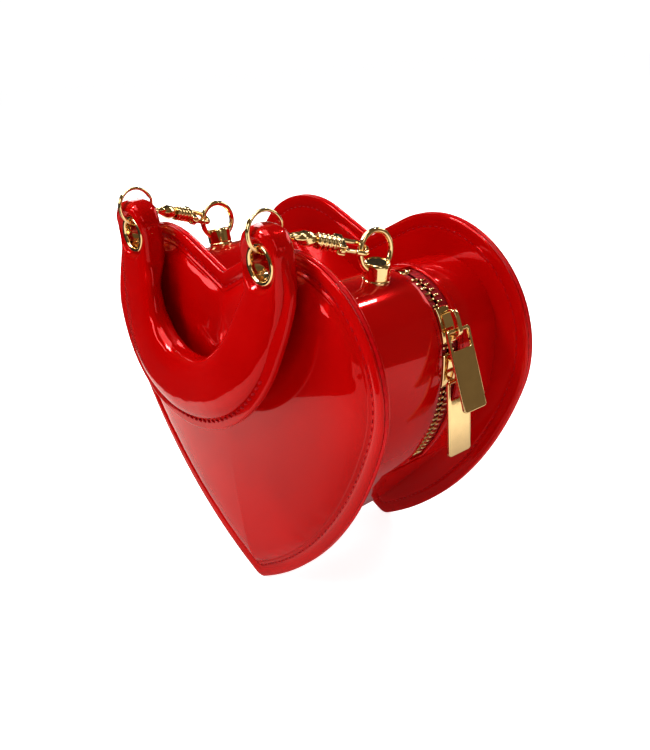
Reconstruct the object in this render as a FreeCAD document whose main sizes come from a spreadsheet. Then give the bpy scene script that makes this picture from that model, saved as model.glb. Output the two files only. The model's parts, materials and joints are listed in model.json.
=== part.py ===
import FreeCAD, Part
import math
import os

from FreeCAD import Placement, Rotation, Vector

# Heart shaped purse. +Z is up, the front faces -Y, and x = 0 is the plane of symmetry.
# The origin is the middle of the flat back crown, level with the centres of the two lobes,
# so a depth counted from the back crown towards the front is minus y.

# Driving dimensions in millimetres and degrees
SIZES = {
    # Heart panels
    "heart_width": 200,
    "heart_height": 174,
    "lobe_radius": 53,
    "cleft_depth": 16.2,
    "lobe_end_angle": 24.55,
    "side_start_angle": 22,
    "tip_radius": 8,
    "least_tip_radius": 1,
    "body_depth": 90,
    "cover_thickness": 1.2,
    "board_thickness": 1.6,
    "backing_thickness": 1.2,
    "layer_gap": 0.05,
    "dome_rise": 8,
    "dome_inset": 8,
    "dome_shoulder_run": 3.5,
    "dome_shoulder_rise": 5,
    "dome_crown_run": 14,
    # Side wall
    "overhang": 18,
    "wall_thickness": 1.6,
    "wall_lobe_radius": 30,
    "wall_side_radius": 88,
    "wall_side_sweep": 47,
    "lining_thickness": 0.8,
    # Zip
    "zip_from_front": 57,
    "zip_gap": 10,
    "zip_top_angle": 86,
    "zip_bottom_margin": 4,
    "tape_width": 11,
    "tape_thickness": 0.6,
    "tooth_pitch": 3.0,
    "tooth_length": 1.3,
    "tooth_reach": 2,
    "tooth_height": 2.4,
    "tooth_split": 1.5,
    "stop_length": 3,
    # Zip sliders and pull tabs
    "upper_slider_angle": 19,
    "lower_slider_angle": -6.8,
    "slider_length": 15,
    "slider_width": 9.4,
    "slider_plate": 1,
    "slider_clearance": 0.35,
    "slider_post_width": 0.8,
    "slider_post_length": 2.4,
    "bail_width": 2.4,
    "bail_length": 10,
    "bail_height": 6.5,
    "bail_hole_radius": 1.3,
    "bail_hole_depth": 2.2,
    "bail_hole_drop": 2.6,
    "tab_width": 14,
    "tab_length": 36,
    "tab_thickness": 1.4,
    "tab_bar": 1.6,
    "tab_window_width": 11.4,
    "tab_window_length": 7.5,
    "tab_corner": 1.8,
    "upper_tab_lean": 16,
    # Strap studs
    "stud_angle": 12,
    "stud_from_front": 37.5,
    "stud_radius": 5.75,
    "stud_height": 8.6,
    "stud_saddle": 1.2,
    "stud_hole_height": 4,
    "stud_ring_radius": 8.5,
    "stud_ring_wire": 1.25,
    "ring_running_clearance": 0.08,
    "screw_radius": 1.5,
    "screw_grip": 2,
    "screw_clearance": 0.05,
    "screw_head_radius": 3,
    "screw_head_height": 1.6,
    "washer_radius": 5,
    "washer_thickness": 0.8,
    # Snap hooks
    "clasp_roll": 30,
    "hook_wire": 1.1,
    "hook_clearance": 0.3,
    "hook_half_width": 3.6,
    "hook_opening": 8,
    "hook_tip": 2.4,
    "shoulder_length": 3.5,
    "shoulder_thickness": 4.4,
    "barrel_radius": 3.4,
    "barrel_length": 10.5,
    "barrel_groove": 0.5,
    "gate_thickness": 1.8,
    "gate_clearance": 0.3,
    "gate_heel": 2,
    "pin_radius": 0.6,
    "pin_clearance": 0.05,
    "spring_thickness": 0.3,
    "swivel_stem_radius": 1.5,
    "swivel_head_radius": 2.3,
    "swivel_head_length": 2,
    "swivel_clearance": 0.1,
    "swivel_gap": 0.4,
    "eye_wire": 0.8,
    "eye_radius": 2.8,
    "eye_neck_radius": 3.1,
    # Handle
    "handle_gap": 1.2,
    "handle_half_span": 50,
    "handle_ring_rise": 15.3,
    "handle_end_setback": 6.7,
    "handle_ring_radius": 8,
    "handle_ring_wire": 0.65,
    "handle_ring_pitch": 1.1,
    "handle_inner_radius": 34,
    "roll_width": 24,
    "roll_thickness": 15,
    "roll_skin": 1.5,
    "roll_sweep": 144,
    "flange_width": 10,
    "flange_thickness": 3.4,
    "handle_arm_rise": 25.4,
    "end_width": 25,
    "end_thickness": 7,
    "eyelet_drop": 12,
    "eyelet_radius": 8.7,
    "eyelet_hole_radius": 6.3,
    "eyelet_wall": 0.7,
    "eyelet_rim": 0.8,
}

RIGHT_ANGLE = 90
HALF_TURN = 180
SIDES = {"left": -1, "right": 1}
UP = Vector(0, 0, 1)
ACROSS = Vector(1, 0, 0)
BACKWARD = Vector(0, 1, 0)

doc = FreeCAD.newDocument("HeartPurse")
sheet = doc.addObject("Spreadsheet::Sheet", "Sizes")
for row, (alias, number) in enumerate(SIZES.items(), start=1):
    sheet.set(f"A{row}", alias)
    sheet.set(f"B{row}", str(number))
    sheet.setAlias(f"B{row}", alias)
doc.recompute()

nodes = []


def size(alias):
    """Read one driving dimension from the sheet."""
    return float(sheet.get(alias))


def bound(formula):
    """Turn a formula of size names, spaced apart, into an expression that reads the sheet."""
    return " ".join("Sizes." + word if word in SIZES else word for word in formula.split())


def cosine(degrees):
    return math.cos(math.radians(degrees))


def sine(degrees):
    return math.sin(math.radians(degrees))


# Plane curves: (x, z) in the sketch plane of a panel, and any two axes elsewhere


def polar(center, radius, angle):
    return center + Vector(radius * cosine(angle), radius * sine(angle), 0)


def arc(center, radius, start, end):
    middle = polar(center, radius, (start + end) / 2)
    return Part.Arc(polar(center, radius, start), middle, polar(center, radius, end))


def line(start, end):
    return Part.LineSegment(start, end)


def polygon(points):
    return [line(points[i - 1], points[i]) for i in range(len(points))]


def band(outer, inner):
    """Close two open paths that run side by side into one outline."""
    start_cap = line(outer[0].StartPoint, inner[0].StartPoint)
    end_cap = line(outer[-1].EndPoint, inner[-1].EndPoint)
    return outer + inner + [start_cap, end_cap]


def sector(center, inner_radius, outer_radius, start, end):
    return band([arc(center, outer_radius, start, end)], [arc(center, inner_radius, start, end)])


def rounded_rectangle(low, high, corner):
    """A rectangle between two corners, with its corners rounded."""
    right = Vector(high.x - corner, 0, 0)
    left = Vector(low.x + corner, 0, 0)
    top = Vector(0, high.y - corner, 0)
    bottom = Vector(0, low.y + corner, 0)
    corners = [
        arc(right + bottom, corner, -90, 0),
        arc(right + top, corner, 0, 90),
        arc(left + top, corner, 90, 180),
        arc(left + bottom, corner, 180, 270),
    ]
    sides = [line(corners[i - 1].EndPoint, corners[i].StartPoint) for i in range(4)]
    return corners + sides


# The outline of the heart panels

lobe_center = Vector(size("heart_width") / 2 - size("lobe_radius"), 0, 0)
cleft_point = Vector(0, size("lobe_radius") - size("cleft_depth"), 0)
lobe_start = RIGHT_ANGLE + size("lobe_end_angle")
lobe_end = polar(lobe_center, size("lobe_radius"), lobe_start)
cleft_slope = math.atan2(lobe_end.y - cleft_point.y, lobe_end.x)
side_start = -size("side_start_angle")


def side_arc():
    """Centre and radius of the arc from a lobe, tangent to it, down to the tip."""
    radius = size("lobe_radius")
    reach = Vector(0, radius - size("heart_height"), 0) - lobe_center
    outward = polar(Vector(), 1, side_start)
    along = reach.dot(outward)
    large = (reach.dot(reach) - 2 * radius * along + radius**2) / (2 * (radius - along))
    return lobe_center + outward * (radius - large), large


side_center, side_radius = side_arc()


def mirrored(point):
    return Vector(-point.x, point.y, 0)


def heart(inset):
    """The panel's outline, drawn in by inset all round."""
    lobe = size("lobe_radius") - inset
    side = side_radius - inset
    tip = max(size("tip_radius") - inset, size("least_tip_radius"))
    tip_center = Vector(0, side_center.y - math.sqrt((side - tip) ** 2 - side_center.x**2), 0)
    toward_tip = tip_center - side_center
    side_end = math.degrees(math.atan2(toward_tip.y, toward_tip.x))
    shoulder = polar(lobe_center, lobe, lobe_start)
    cleft = cleft_point - Vector(0, inset / math.cos(cleft_slope), 0)
    return [
        line(cleft, shoulder),
        arc(lobe_center, lobe, lobe_start, side_start),
        arc(side_center, side, side_start, side_end),
        arc(tip_center, tip, side_end, -HALF_TURN - side_end),
        arc(mirrored(side_center), side, HALF_TURN - side_end, HALF_TURN - side_start),
        arc(mirrored(lobe_center), lobe, HALF_TURN - side_start, HALF_TURN - lobe_start),
        line(mirrored(shoulder), cleft),
    ]


# The outline of the side wall, which stands inside the panels' rims

wall_half_width = size("heart_width") / 2 - size("overhang")
wall_top = size("lobe_radius") - size("overhang")
wall_lobe_center = Vector(
    wall_half_width - size("wall_lobe_radius"), wall_top - size("wall_lobe_radius"), 0
)
wall_side_center = Vector(wall_half_width - size("wall_side_radius"), wall_lobe_center.y, 0)


def right_wall(inset, top=lobe_start, bottom=-size("wall_side_sweep")):
    """The wall's path round the right lobe and down the right side, where the zip runs."""
    lobe = arc(wall_lobe_center, size("wall_lobe_radius") - inset, top, 0)
    side = arc(wall_side_center, size("wall_side_radius") - inset, 0, bottom)
    return [lobe, side]


def other_wall(inset):
    """The rest of the wall's path: the cleft, the left lobe and side, and the point."""
    sweep = size("wall_side_sweep")
    lobe = size("wall_lobe_radius") - inset
    side = size("wall_side_radius") - inset
    shoulder = polar(wall_lobe_center, lobe, lobe_start)
    cleft = Vector(0, shoulder.y - shoulder.x * math.tan(cleft_slope), 0)
    flank = polar(wall_side_center, side, -sweep)
    point = Vector(0, flank.y - flank.x / math.tan(math.radians(sweep)), 0)
    return [
        line(shoulder, cleft),
        line(cleft, mirrored(shoulder)),
        arc(mirrored(wall_lobe_center), lobe, HALF_TURN - lobe_start, HALF_TURN),
        arc(mirrored(wall_side_center), side, HALF_TURN, HALF_TURN + sweep),
        line(mirrored(flank), point),
        line(point, flank),
    ]


# Document helpers


def keep(item, label):
    """Name a finished sub-part, which is written to a file of that name."""
    item.Label = label
    nodes.append(item)
    return item


def new_body(label):
    return keep(doc.addObject("PartDesign::Body", label), label)


def attach(body, role, curves):
    """Draw curves on one of a body's own origin planes."""
    drawing = body.newObject("Sketcher::SketchObject", body.Name + "_sketch")
    plane = next(item for item in body.Origin.OriginFeatures if item.Role == role)
    drawing.AttachmentSupport = [(plane, "")]
    drawing.MapMode = "FlatFace"
    drawing.addGeometry(curves, False)
    return drawing


def draw(body, curves, role, offset):
    """Draw curves on an origin plane that is moved along its normal."""
    drawing = attach(body, role, curves)
    drawing.setExpression("AttachmentOffset.Base.z", bound(offset))
    return drawing


def pad(body, curves, start, length, role="XZ_Plane"):
    """Pad curves drawn at a depth from the back crown, towards the front."""
    feature = body.newObject("PartDesign::Pad", body.Name + "_pad")
    feature.Profile = draw(body, curves, role, start)
    feature.setExpression("Length", bound(length))
    return feature


def loft(body, kind, sections):
    """Loft straight between sections, each given as its curves and its depth."""
    drawings = [draw(body, curves, "XZ_Plane", depth) for curves, depth in sections]
    feature = body.newObject("PartDesign::" + kind, body.Name + "_loft")
    feature.Profile = drawings[0]
    feature.Sections = drawings[1:]
    feature.Ruled = True
    return feature


def bore(body, place, radius, depth):
    """Pocket a round hole against the z axis of a placement, and check that it cut."""
    doc.recompute()
    before = body.Shape.Volume
    drawing = attach(body, "XY_Plane", [Part.Circle(Vector(), UP, radius)])
    drawing.AttachmentOffset = place
    feature = body.newObject("PartDesign::Pocket", body.Name + "_hole")
    feature.Profile = drawing
    feature.Length = depth
    doc.recompute()
    if body.Shape.Volume >= before:
        raise RuntimeError("hole cut nothing in " + body.Label)


def solid_feature(label, shape, placement=None):
    feature = doc.addObject("Part::Feature", label)
    feature.Shape = shape
    if placement:
        feature.Placement = placement
    return keep(feature, label)


def cylinder(name, radius, height, placement):
    item = doc.addObject("Part::Cylinder", name)
    item.setExpression("Radius", bound(radius))
    item.setExpression("Height", bound(height))
    item.Placement = placement
    return item


def torus(name, radius, wire, placement):
    item = doc.addObject("Part::Torus", name)
    item.setExpression("Radius1", bound(radius))
    item.setExpression("Radius2", bound(wire))
    item.Placement = placement
    return item


def cut(name, base, tool):
    item = doc.addObject("Part::Cut", name)
    item.Base = base
    item.Tool = tool
    return item


def fuse(name, base, tool):
    item = doc.addObject("Part::Fuse", name)
    item.Base = base
    item.Tool = tool
    return item


def face(curves):
    edges = [curve.toShape() for curve in curves]
    return Part.Face(Part.Wire(Part.__sortEdges__(edges)))


def frame_placement(origin, first, second):
    """Placement whose local x and y axes lie along first and second."""
    third = first.cross(second)
    matrix = FreeCAD.Matrix()
    for column, axis in enumerate((first, second, third)):
        matrix.setCol(column, axis)
    return Placement(origin, Rotation(matrix))


# Depths from the back crown
RIM = "cover_thickness + board_thickness + backing_thickness"
BACK_RIM = "dome_rise"
FRONT_RIM = "dome_rise + body_depth"
ZIP_DEPTH = "dome_rise + body_depth - zip_from_front"
rim = size("cover_thickness") + size("board_thickness") + size("backing_thickness")
front_rim = size("dome_rise") + size("body_depth")
zip_depth = front_rim - size("zip_from_front")
stud_depth = front_rim - size("stud_from_front")


def dome():
    """Insets and rises of the padded dome."""
    base = size("dome_inset")
    shoulder = base + size("dome_shoulder_run")
    crown = shoulder + size("dome_crown_run")
    return [(base, "0 * dome_rise"), (shoulder, "dome_shoulder_rise"), (crown, "dome_rise")]


def build_panel(side, rim_face, outward):
    """Cover, foam pad, board and backing of one heart panel; outward is + or - in depth."""
    skin = size("cover_thickness")
    gap = size("layer_gap")
    inward = "-" if outward == "+" else "+"

    def layer(label, inset, above, thickness):
        start = f"{rim_face} {inward} ( {above} )"
        if outward == "+":
            start = f"{start} - ( {thickness} )"
        body = new_body(label)
        pad(body, heart(inset), start, thickness)
        return body

    def dome_sections(inset, lift):
        return [
            (heart(part_inset + inset), f"{rim_face} {outward} ( {rise} ) {inward} ( {lift} )")
            for part_inset, rise in dome()
        ]

    cover = layer(f"{side}_panel_cover", 0, "0 * dome_rise", "cover_thickness")
    loft(cover, "AdditiveLoft", dome_sections(0, "0 * dome_rise"))
    loft(cover, "SubtractiveLoft", dome_sections(skin, "cover_thickness"))
    foam = new_body(f"{side}_panel_foam")
    loft(foam, "AdditiveLoft", dome_sections(skin + gap, "cover_thickness + layer_gap"))
    layer(f"{side}_panel_board", 0, "cover_thickness + layer_gap", "board_thickness - 2 * layer_gap")
    layer(f"{side}_panel_backing", 0, "cover_thickness + board_thickness", "backing_thickness")


def build_wall():
    """Side wall: one piece round the left and the point, two strips beside the zip."""
    thick = size("wall_thickness")
    main = new_body("gusset_main")
    pad(main, band(other_wall(0), other_wall(thick)), f"{BACK_RIM} + {RIM}", f"body_depth - 2 * ( {RIM} )")
    strip = band(right_wall(0), right_wall(thick))
    front = new_body("gusset_front_strip")
    pad(front, strip, f"{ZIP_DEPTH} + zip_gap / 2", f"zip_from_front - zip_gap / 2 - ( {RIM} )")
    back = new_body("gusset_back_strip")
    back_width = f"body_depth - zip_from_front - zip_gap / 2 - ( {RIM} )"
    pad(back, strip, f"{BACK_RIM} + {RIM}", back_width)
    drill_stud_hole(main, "left")
    drill_stud_hole(front, "right")


def stud_axis(side):
    return Vector(SIDES[side] * sine(size("stud_angle")), 0, cosine(size("stud_angle")))


def stud_place(side, radius):
    """Placement on a stud's axis at a distance from the wall's lobe centre, z pointing out."""
    center = Vector(SIDES[side] * wall_lobe_center.x, -stud_depth, wall_lobe_center.y)
    axis = stud_axis(side)
    return Placement(center + axis * radius, Rotation(UP, axis))


def drill_stud_hole(body, side):
    radius = size("screw_radius") + size("screw_clearance")
    outside = stud_place(side, size("wall_lobe_radius") + size("wall_thickness"))
    bore(body, outside, radius, size("wall_lobe_radius"))


def build_linings():
    """Thin linings on the side wall and on both panels."""
    outer = size("wall_thickness") + size("layer_gap")
    inner = outer + size("lining_thickness")
    main = new_body("gusset_main_lining")
    pad(main, band(other_wall(outer), other_wall(inner)), f"{BACK_RIM} + {RIM}", f"body_depth - 2 * ( {RIM} )")
    strip = band(right_wall(outer), right_wall(inner))
    margin = "tape_width + layer_gap"
    front = new_body("gusset_front_lining")
    pad(front, strip, f"{ZIP_DEPTH} + {margin}", f"zip_from_front - ( {margin} ) - ( {RIM} )")
    back = new_body("gusset_back_lining")
    pad(back, strip, f"{BACK_RIM} + {RIM}", f"body_depth - zip_from_front - ( {margin} ) - ( {RIM} )")
    drill_stud_hole(main, "left")
    drill_stud_hole(front, "right")
    sheet_outline = right_wall(inner + size("layer_gap")) + other_wall(inner + size("layer_gap"))
    pad(new_body("back_lining"), sheet_outline, f"{BACK_RIM} + {RIM}", "lining_thickness")
    pad(new_body("front_lining"), sheet_outline, f"{FRONT_RIM} - ( {RIM} ) - lining_thickness", "lining_thickness")


# The zip chain: places along it are lengths from where the lobe's arc meets the side's arc

tape_inset = size("wall_thickness") + size("layer_gap")
chain_inset = tape_inset + size("tape_thickness") / 2
zip_bottom_angle = -size("wall_side_sweep") + size("zip_bottom_margin")
chain_top = math.radians(size("zip_top_angle")) * (size("wall_lobe_radius") - chain_inset)
chain_bottom = math.radians(zip_bottom_angle) * (size("wall_side_radius") - chain_inset)


def chain_placement(place):
    """Frame on the chain's middle line: x along it, y outward, z towards the back."""
    if place > 0:
        center, radius = wall_lobe_center, size("wall_lobe_radius") - chain_inset
    else:
        center, radius = wall_side_center, size("wall_side_radius") - chain_inset
    angle = math.degrees(place / radius)
    spot = polar(center, radius, angle)
    outward = Vector(cosine(angle), 0, sine(angle))
    along = Vector(-sine(angle), 0, cosine(angle))
    return frame_placement(Vector(spot.x, -zip_depth, spot.y), along, outward)


def chain_block(place, length, reach, side):
    """One tooth or stop; side is 1 on the back row and -1 on the front row."""
    height = size("tooth_height")
    near = size("tooth_split") / 2
    low = near if side > 0 else -near - reach
    block = Part.makeBox(length, height, reach, Vector(-length / 2, -height / 2, low))
    block.Placement = chain_placement(place)
    return block


def build_zip():
    tape = band(
        right_wall(tape_inset, size("zip_top_angle"), zip_bottom_angle),
        right_wall(tape_inset + size("tape_thickness"), size("zip_top_angle"), zip_bottom_angle),
    )
    tape_edge = "( tooth_split / 2 + tooth_reach )"
    tape_run = f"tape_width - {tape_edge}"
    pad(new_body("zip_tape_front"), tape, f"{ZIP_DEPTH} + {tape_edge}", tape_run)
    pad(new_body("zip_tape_back"), tape, f"{ZIP_DEPTH} - tape_width", tape_run)
    pitch = size("tooth_pitch")
    first = chain_bottom + size("stop_length") + pitch
    count = int((chain_top - size("stop_length") - pitch - first) / pitch)
    for name, side, shift in (("front", -1, 0), ("back", 1, pitch / 2)):
        teeth = [
            chain_block(first + shift + pitch * k, size("tooth_length"), size("tooth_reach"), side)
            for k in range(count)
        ]
        solid_feature(f"zip_teeth_{name}", Part.makeCompound(teeth))
    ends = (chain_bottom + size("stop_length") / 2, chain_top - size("stop_length") / 2)
    stops = [
        chain_block(place, size("stop_length"), size("tooth_reach"), side)
        for place in ends
        for side in (1, -1)
    ]
    solid_feature("zip_stops", Part.makeCompound(stops))
    thick = size("wall_thickness")
    top_tab = sector(
        wall_lobe_center,
        size("wall_lobe_radius") - thick,
        size("wall_lobe_radius"),
        size("zip_top_angle"),
        lobe_start,
    )
    bottom_tab = sector(
        wall_side_center,
        size("wall_side_radius") - thick,
        size("wall_side_radius"),
        -size("wall_side_sweep"),
        zip_bottom_angle,
    )
    pad(new_body("zip_top_tab"), top_tab, f"{ZIP_DEPTH} - zip_gap / 2", "zip_gap")
    pad(new_body("zip_bottom_tab"), bottom_tab, f"{ZIP_DEPTH} - zip_gap / 2", "zip_gap")


def build_slider(name, center, wall_radius, angle, lean):
    """A slider round the chain and its pull tab, hung from the slider's bail."""
    middle = wall_radius - chain_inset
    clear = size("tooth_height") / 2 + size("slider_clearance")
    plate = size("slider_plate")

    def spread(length):
        half = math.degrees(length / 2 / middle)
        return angle - half, angle + half

    ends = spread(size("slider_length"))
    top = middle + clear + plate
    body = new_body(f"{name}_zip_slider")
    width = "slider_width"
    start = f"{ZIP_DEPTH} - slider_width / 2"
    pad(body, sector(center, middle + clear, top, *ends), start, width)
    post = sector(center, middle - clear - plate / 2, top - plate / 2, *spread(size("slider_post_length")))
    pad(body, post, f"{ZIP_DEPTH} - slider_post_width / 2", "slider_post_width")
    pad(body, sector(center, middle - clear - plate, middle - clear, *ends), start, width)
    bail = sector(center, top - plate / 2, top + size("bail_height"), *spread(size("bail_length")))
    eye_angle = angle - math.degrees(size("bail_hole_drop") / top)
    eye = polar(center, top + size("bail_height") - size("bail_hole_depth"), eye_angle)
    hole = Part.Circle(eye, UP, size("bail_hole_radius"))
    pad(body, bail + [hole], f"{ZIP_DEPTH} - bail_width / 2", "bail_width")

    tab = new_body(f"{name}_pull_tab")
    half = size("tab_width") / 2
    bar = size("tab_bar") / 2
    outline = rounded_rectangle(
        Vector(-half, bar - size("tab_length"), 0), Vector(half, bar, 0), size("tab_corner")
    )
    window_half = size("tab_window_width") / 2
    window = polygon([
        Vector(-window_half, -bar, 0),
        Vector(window_half, -bar, 0),
        Vector(window_half, -bar - size("tab_window_length"), 0),
        Vector(-window_half, -bar - size("tab_window_length"), 0),
    ])
    pad(tab, outline + window, "tab_thickness / -2", "tab_thickness", "XY_Plane")
    upward = Vector(-sine(lean), 0, cosine(lean))
    tab.Placement = frame_placement(Vector(eye.x, -zip_depth, eye.y), BACKWARD, upward)
    print(name, "slider turns about", center, "and its tab about", eye)


# Strap studs, their rings and the snap hooks

handle_depth = front_rim + size("dome_rise") + size("handle_gap") + size("roll_thickness") / 2
handle_end_depth = handle_depth - size("handle_end_setback")


def ring_center(side):
    """The ring stands upright in its hole through the stud."""
    hole = stud_place(side, size("wall_lobe_radius") + size("stud_hole_height")).Base
    return hole + UP * size("stud_ring_radius")


handle_hang = ring_center("right").z + size("handle_ring_rise")


def handle_ring_center(side):
    return Vector(SIDES[side] * size("handle_half_span"), -handle_end_depth, handle_hang)


def ring_spoke(side):
    """Direction from the stud ring's centre to where the hook holds it, in the ring's plane."""
    spoke = handle_ring_center(side) - ring_center(side)
    spoke.x = 0
    return spoke.normalize()


def clasp_ends(side):
    """The points on the two rings' wires that a snap hook joins."""
    spoke = ring_spoke(side)
    on_stud_ring = ring_center(side) + spoke * size("stud_ring_radius")
    on_handle_ring = handle_ring_center(side) - spoke * size("handle_ring_radius")
    return on_stud_ring, on_handle_ring


def clasp_direction(side):
    start, end = clasp_ends(side)
    return (end - start).normalize()


clasp_length = clasp_ends("right")[0].distanceToPoint(clasp_ends("right")[1])


def facing_x(center):
    """Placement of a ring whose axis lies along X."""
    return Placement(center, Rotation(BACKWARD, RIGHT_ANGLE))


def build_stud(side):
    center = ring_center(side)
    seat = size("wall_lobe_radius")
    foot = stud_place(side, seat - size("stud_saddle"))
    solid = cylinder(f"{side}_stud_solid", "stud_radius", "stud_height + stud_saddle", foot)
    saddle_start = Vector(
        SIDES[side] * wall_lobe_center.x, center.y - 2 * size("stud_radius"), wall_lobe_center.y
    )
    saddle = cylinder(
        f"{side}_stud_seat",
        "wall_lobe_radius + layer_gap",
        "4 * stud_radius",
        Placement(saddle_start, Rotation(ACROSS, -RIGHT_ANGLE)),
    )
    post = cut(f"{side}_stud_seated", solid, saddle)
    groove = torus(
        f"{side}_stud_groove",
        "stud_ring_radius",
        "stud_ring_wire + ring_running_clearance",
        facing_x(center),
    )
    thread = cylinder(
        f"{side}_stud_thread", "screw_radius + screw_clearance", "stud_saddle + screw_grip", foot
    )
    bored = cut(f"{side}_stud_bored", post, groove)
    keep(cut(f"{side}_stud_post", bored, thread), f"{side}_stud_post")
    ring = torus(f"{side}_stud_ring", "stud_ring_radius", "stud_ring_wire", facing_x(center))
    keep(ring, f"{side}_stud_ring")

    inside = seat - size("wall_thickness") - size("lining_thickness") - 2 * size("layer_gap")
    washer_top = math.sqrt(inside**2 - size("washer_radius") ** 2)
    washer_base = washer_top - size("washer_thickness")
    washer_place = stud_place(side, washer_base)
    disc = cylinder(f"{side}_washer_disc", "washer_radius", "washer_thickness", washer_place)
    eye = cylinder(f"{side}_washer_eye", "screw_radius + screw_clearance", "washer_thickness", washer_place)
    keep(cut(f"{side}_stud_washer", disc, eye), f"{side}_stud_washer")
    head_place = stud_place(side, washer_base - size("screw_head_height"))
    head = cylinder(f"{side}_screw_head", "screw_head_radius", "screw_head_height", head_place)
    shank = doc.addObject("Part::Cylinder", f"{side}_screw_shank")
    shank.setExpression("Radius", bound("screw_radius"))
    shank.Height = seat + size("screw_grip") - size("layer_gap") - washer_base
    shank.Placement = washer_place
    keep(fuse(f"{side}_stud_screw", head, shank), f"{side}_stud_screw")


def clasp_placement(side):
    """Snap hook frame: x along it from the stud ring's wire, y across the hook, z its normal."""
    along = clasp_direction(side)
    roll = -size("clasp_roll")
    lifted = ring_spoke(side).cross(ACROSS)
    level = lifted.cross(along)
    across = level * cosine(roll) + lifted * sine(roll)
    return frame_placement(clasp_ends(side)[0], along, across)


def turned(profile):
    """Solid of revolution about the x axis, from (x, radius) points of its profile."""
    points = [Vector(x, radius, 0) for x, radius in profile]
    return face(polygon(points)).revolve(Vector(), ACROSS, 2 * HALF_TURN)


def swept(path, wire):
    """Round wire along a path of tangent lines and arcs."""
    spine = Part.Wire([curve.toShape() for curve in path])
    start = path[0].StartPoint
    direction = path[0].EndPoint - start
    ring = Part.Wire([Part.Circle(start, direction, wire).toShape()])
    return spine.makePipeShell([ring], True, False)


def block(low, high):
    extent = high - low
    return Part.makeBox(extent.x, extent.y, extent.z, low)


barrel_start = size("hook_opening") + size("shoulder_length") / 2
barrel_end = barrel_start + size("barrel_length")
bowl_place = (
    size("hook_half_width") - size("hook_wire") - size("stud_ring_wire") - size("hook_clearance")
)
slot_floor = (size("hook_half_width") - size("hook_wire")) / 2 - size("hook_wire")
slot_end = size("hook_opening") + size("shoulder_length")
pin_place = Vector(size("hook_opening") + size("gate_thickness") / 2, size("hook_half_width"), 0)


def hook_shape():
    """Bent hook, shoulder with the gate's slot, and ribbed barrel with the swivel's chamber."""
    half = size("hook_half_width")
    wire = size("hook_wire")
    bowl = Vector(bowl_place, 0, 0)
    path = [
        line(Vector(size("hook_opening") + wire, -half, 0), bowl - Vector(0, half, 0)),
        arc(bowl, half, 270, 180),
        arc(bowl, half, 180, 90),
        line(bowl + Vector(0, half, 0), Vector(bowl.x + size("hook_tip"), half, 0)),
    ]
    bend = swept(path, wire)
    side = half + wire
    deep = size("shoulder_thickness") / 2
    shoulder = block(
        Vector(size("hook_opening"), -side, -deep),
        Vector(size("hook_opening") + size("shoulder_length"), side, deep),
    )
    radius = size("barrel_radius")
    groove = size("barrel_groove")
    ribs = 5
    step = size("barrel_length") / (2 * ribs)
    profile = [(barrel_start, 0)]
    for k in range(2 * ribs):
        level = radius - groove * (k % 2)
        profile += [(barrel_start + k * step, level), (barrel_start + (k + 1) * step, level)]
    profile.append((barrel_end, 0))
    barrel = turned(profile)
    clear = size("swivel_clearance")
    neck = size("swivel_stem_radius") + clear
    chamber = size("swivel_head_radius") + clear
    wall = barrel_end - size("swivel_head_length")
    floor = wall - size("swivel_head_length") - 2 * size("swivel_gap")
    hollow = turned([(floor, 0), (floor, chamber), (wall, chamber), (wall, neck), (barrel_end, neck), (barrel_end, 0)])
    slot_half = size("gate_thickness") / 2 + size("gate_clearance")
    slot = block(
        Vector(size("hook_opening") - wire, slot_floor, -slot_half),
        Vector(slot_end, 2 * side, slot_half),
    )
    pin = Part.makeCylinder(size("pin_radius"), 2 * deep, pin_place - UP * deep)
    return bend.fuse([shoulder, barrel]).cut([hollow, slot, pin])


def slab(points, half):
    """Flat piece with an outline of (x, y) points, half its thickness to each side."""
    return face(polygon([Vector(x, y, -half) for x, y in points])).extrude(UP * 2 * half)


def gate_shape():
    """Flat lever from its pin to just short of the hook's tip, with a thumb heel."""
    half = size("gate_thickness") / 2
    middle = size("hook_half_width")
    tip = bowl_place + size("hook_tip") + size("gate_clearance")
    heel = pin_place.x + size("gate_heel")
    outer = middle + size("hook_wire")
    outline = [
        (tip, middle - half),
        (heel, middle - half),
        (heel, outer + half),
        (pin_place.x, outer + half),
        (pin_place.x - half, outer),
        (tip, middle + half),
    ]
    lever = slab(outline, half)
    hole = size("pin_radius") + size("pin_clearance")
    return lever.cut(Part.makeCylinder(hole, 2 * half, pin_place - UP * half))


def spring_shape():
    """Bent leaf on the floor of the gate's slot, with its tongue under the gate's heel."""
    thick = size("spring_thickness")
    start = size("hook_opening")
    end = slot_end - size("gate_clearance")
    half = size("gate_thickness") / 2
    tongue = pin_place.y - half - size("gate_clearance")
    outline = [
        (start, slot_floor),
        (end, slot_floor),
        (pin_place.x + thick, tongue),
        (pin_place.x, tongue - thick),
        (end - 2 * thick, slot_floor + thick),
        (start, slot_floor + thick),
    ]
    return slab(outline, half)


def eye_shape():
    """Swivel eye: headed stem in the barrel, turned neck, and loop round the handle ring."""
    stem = size("swivel_stem_radius")
    head = size("swivel_head_radius")
    gap = size("swivel_gap")
    wall = barrel_end - size("swivel_head_length")
    head_end = wall - gap
    neck_start = barrel_end + gap
    loop_inner = clasp_length - size("eye_radius")
    neck_end = loop_inner + size("eye_wire") / 2
    bulge = neck_start + (neck_end - neck_start) / 3
    turned_part = turned([
        (head_end - size("swivel_head_length"), 0),
        (head_end - size("swivel_head_length"), head),
        (head_end, head),
        (head_end, stem),
        (neck_start, stem),
        (neck_start, size("barrel_radius") - size("barrel_groove")),
        (bulge, size("eye_neck_radius")),
        (neck_end, size("eye_wire")),
        (neck_end, 0),
    ])
    loop = Part.makeTorus(size("eye_radius"), size("eye_wire"), Vector(clasp_length, 0, 0), UP)
    return turned_part.fuse(loop)


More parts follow.
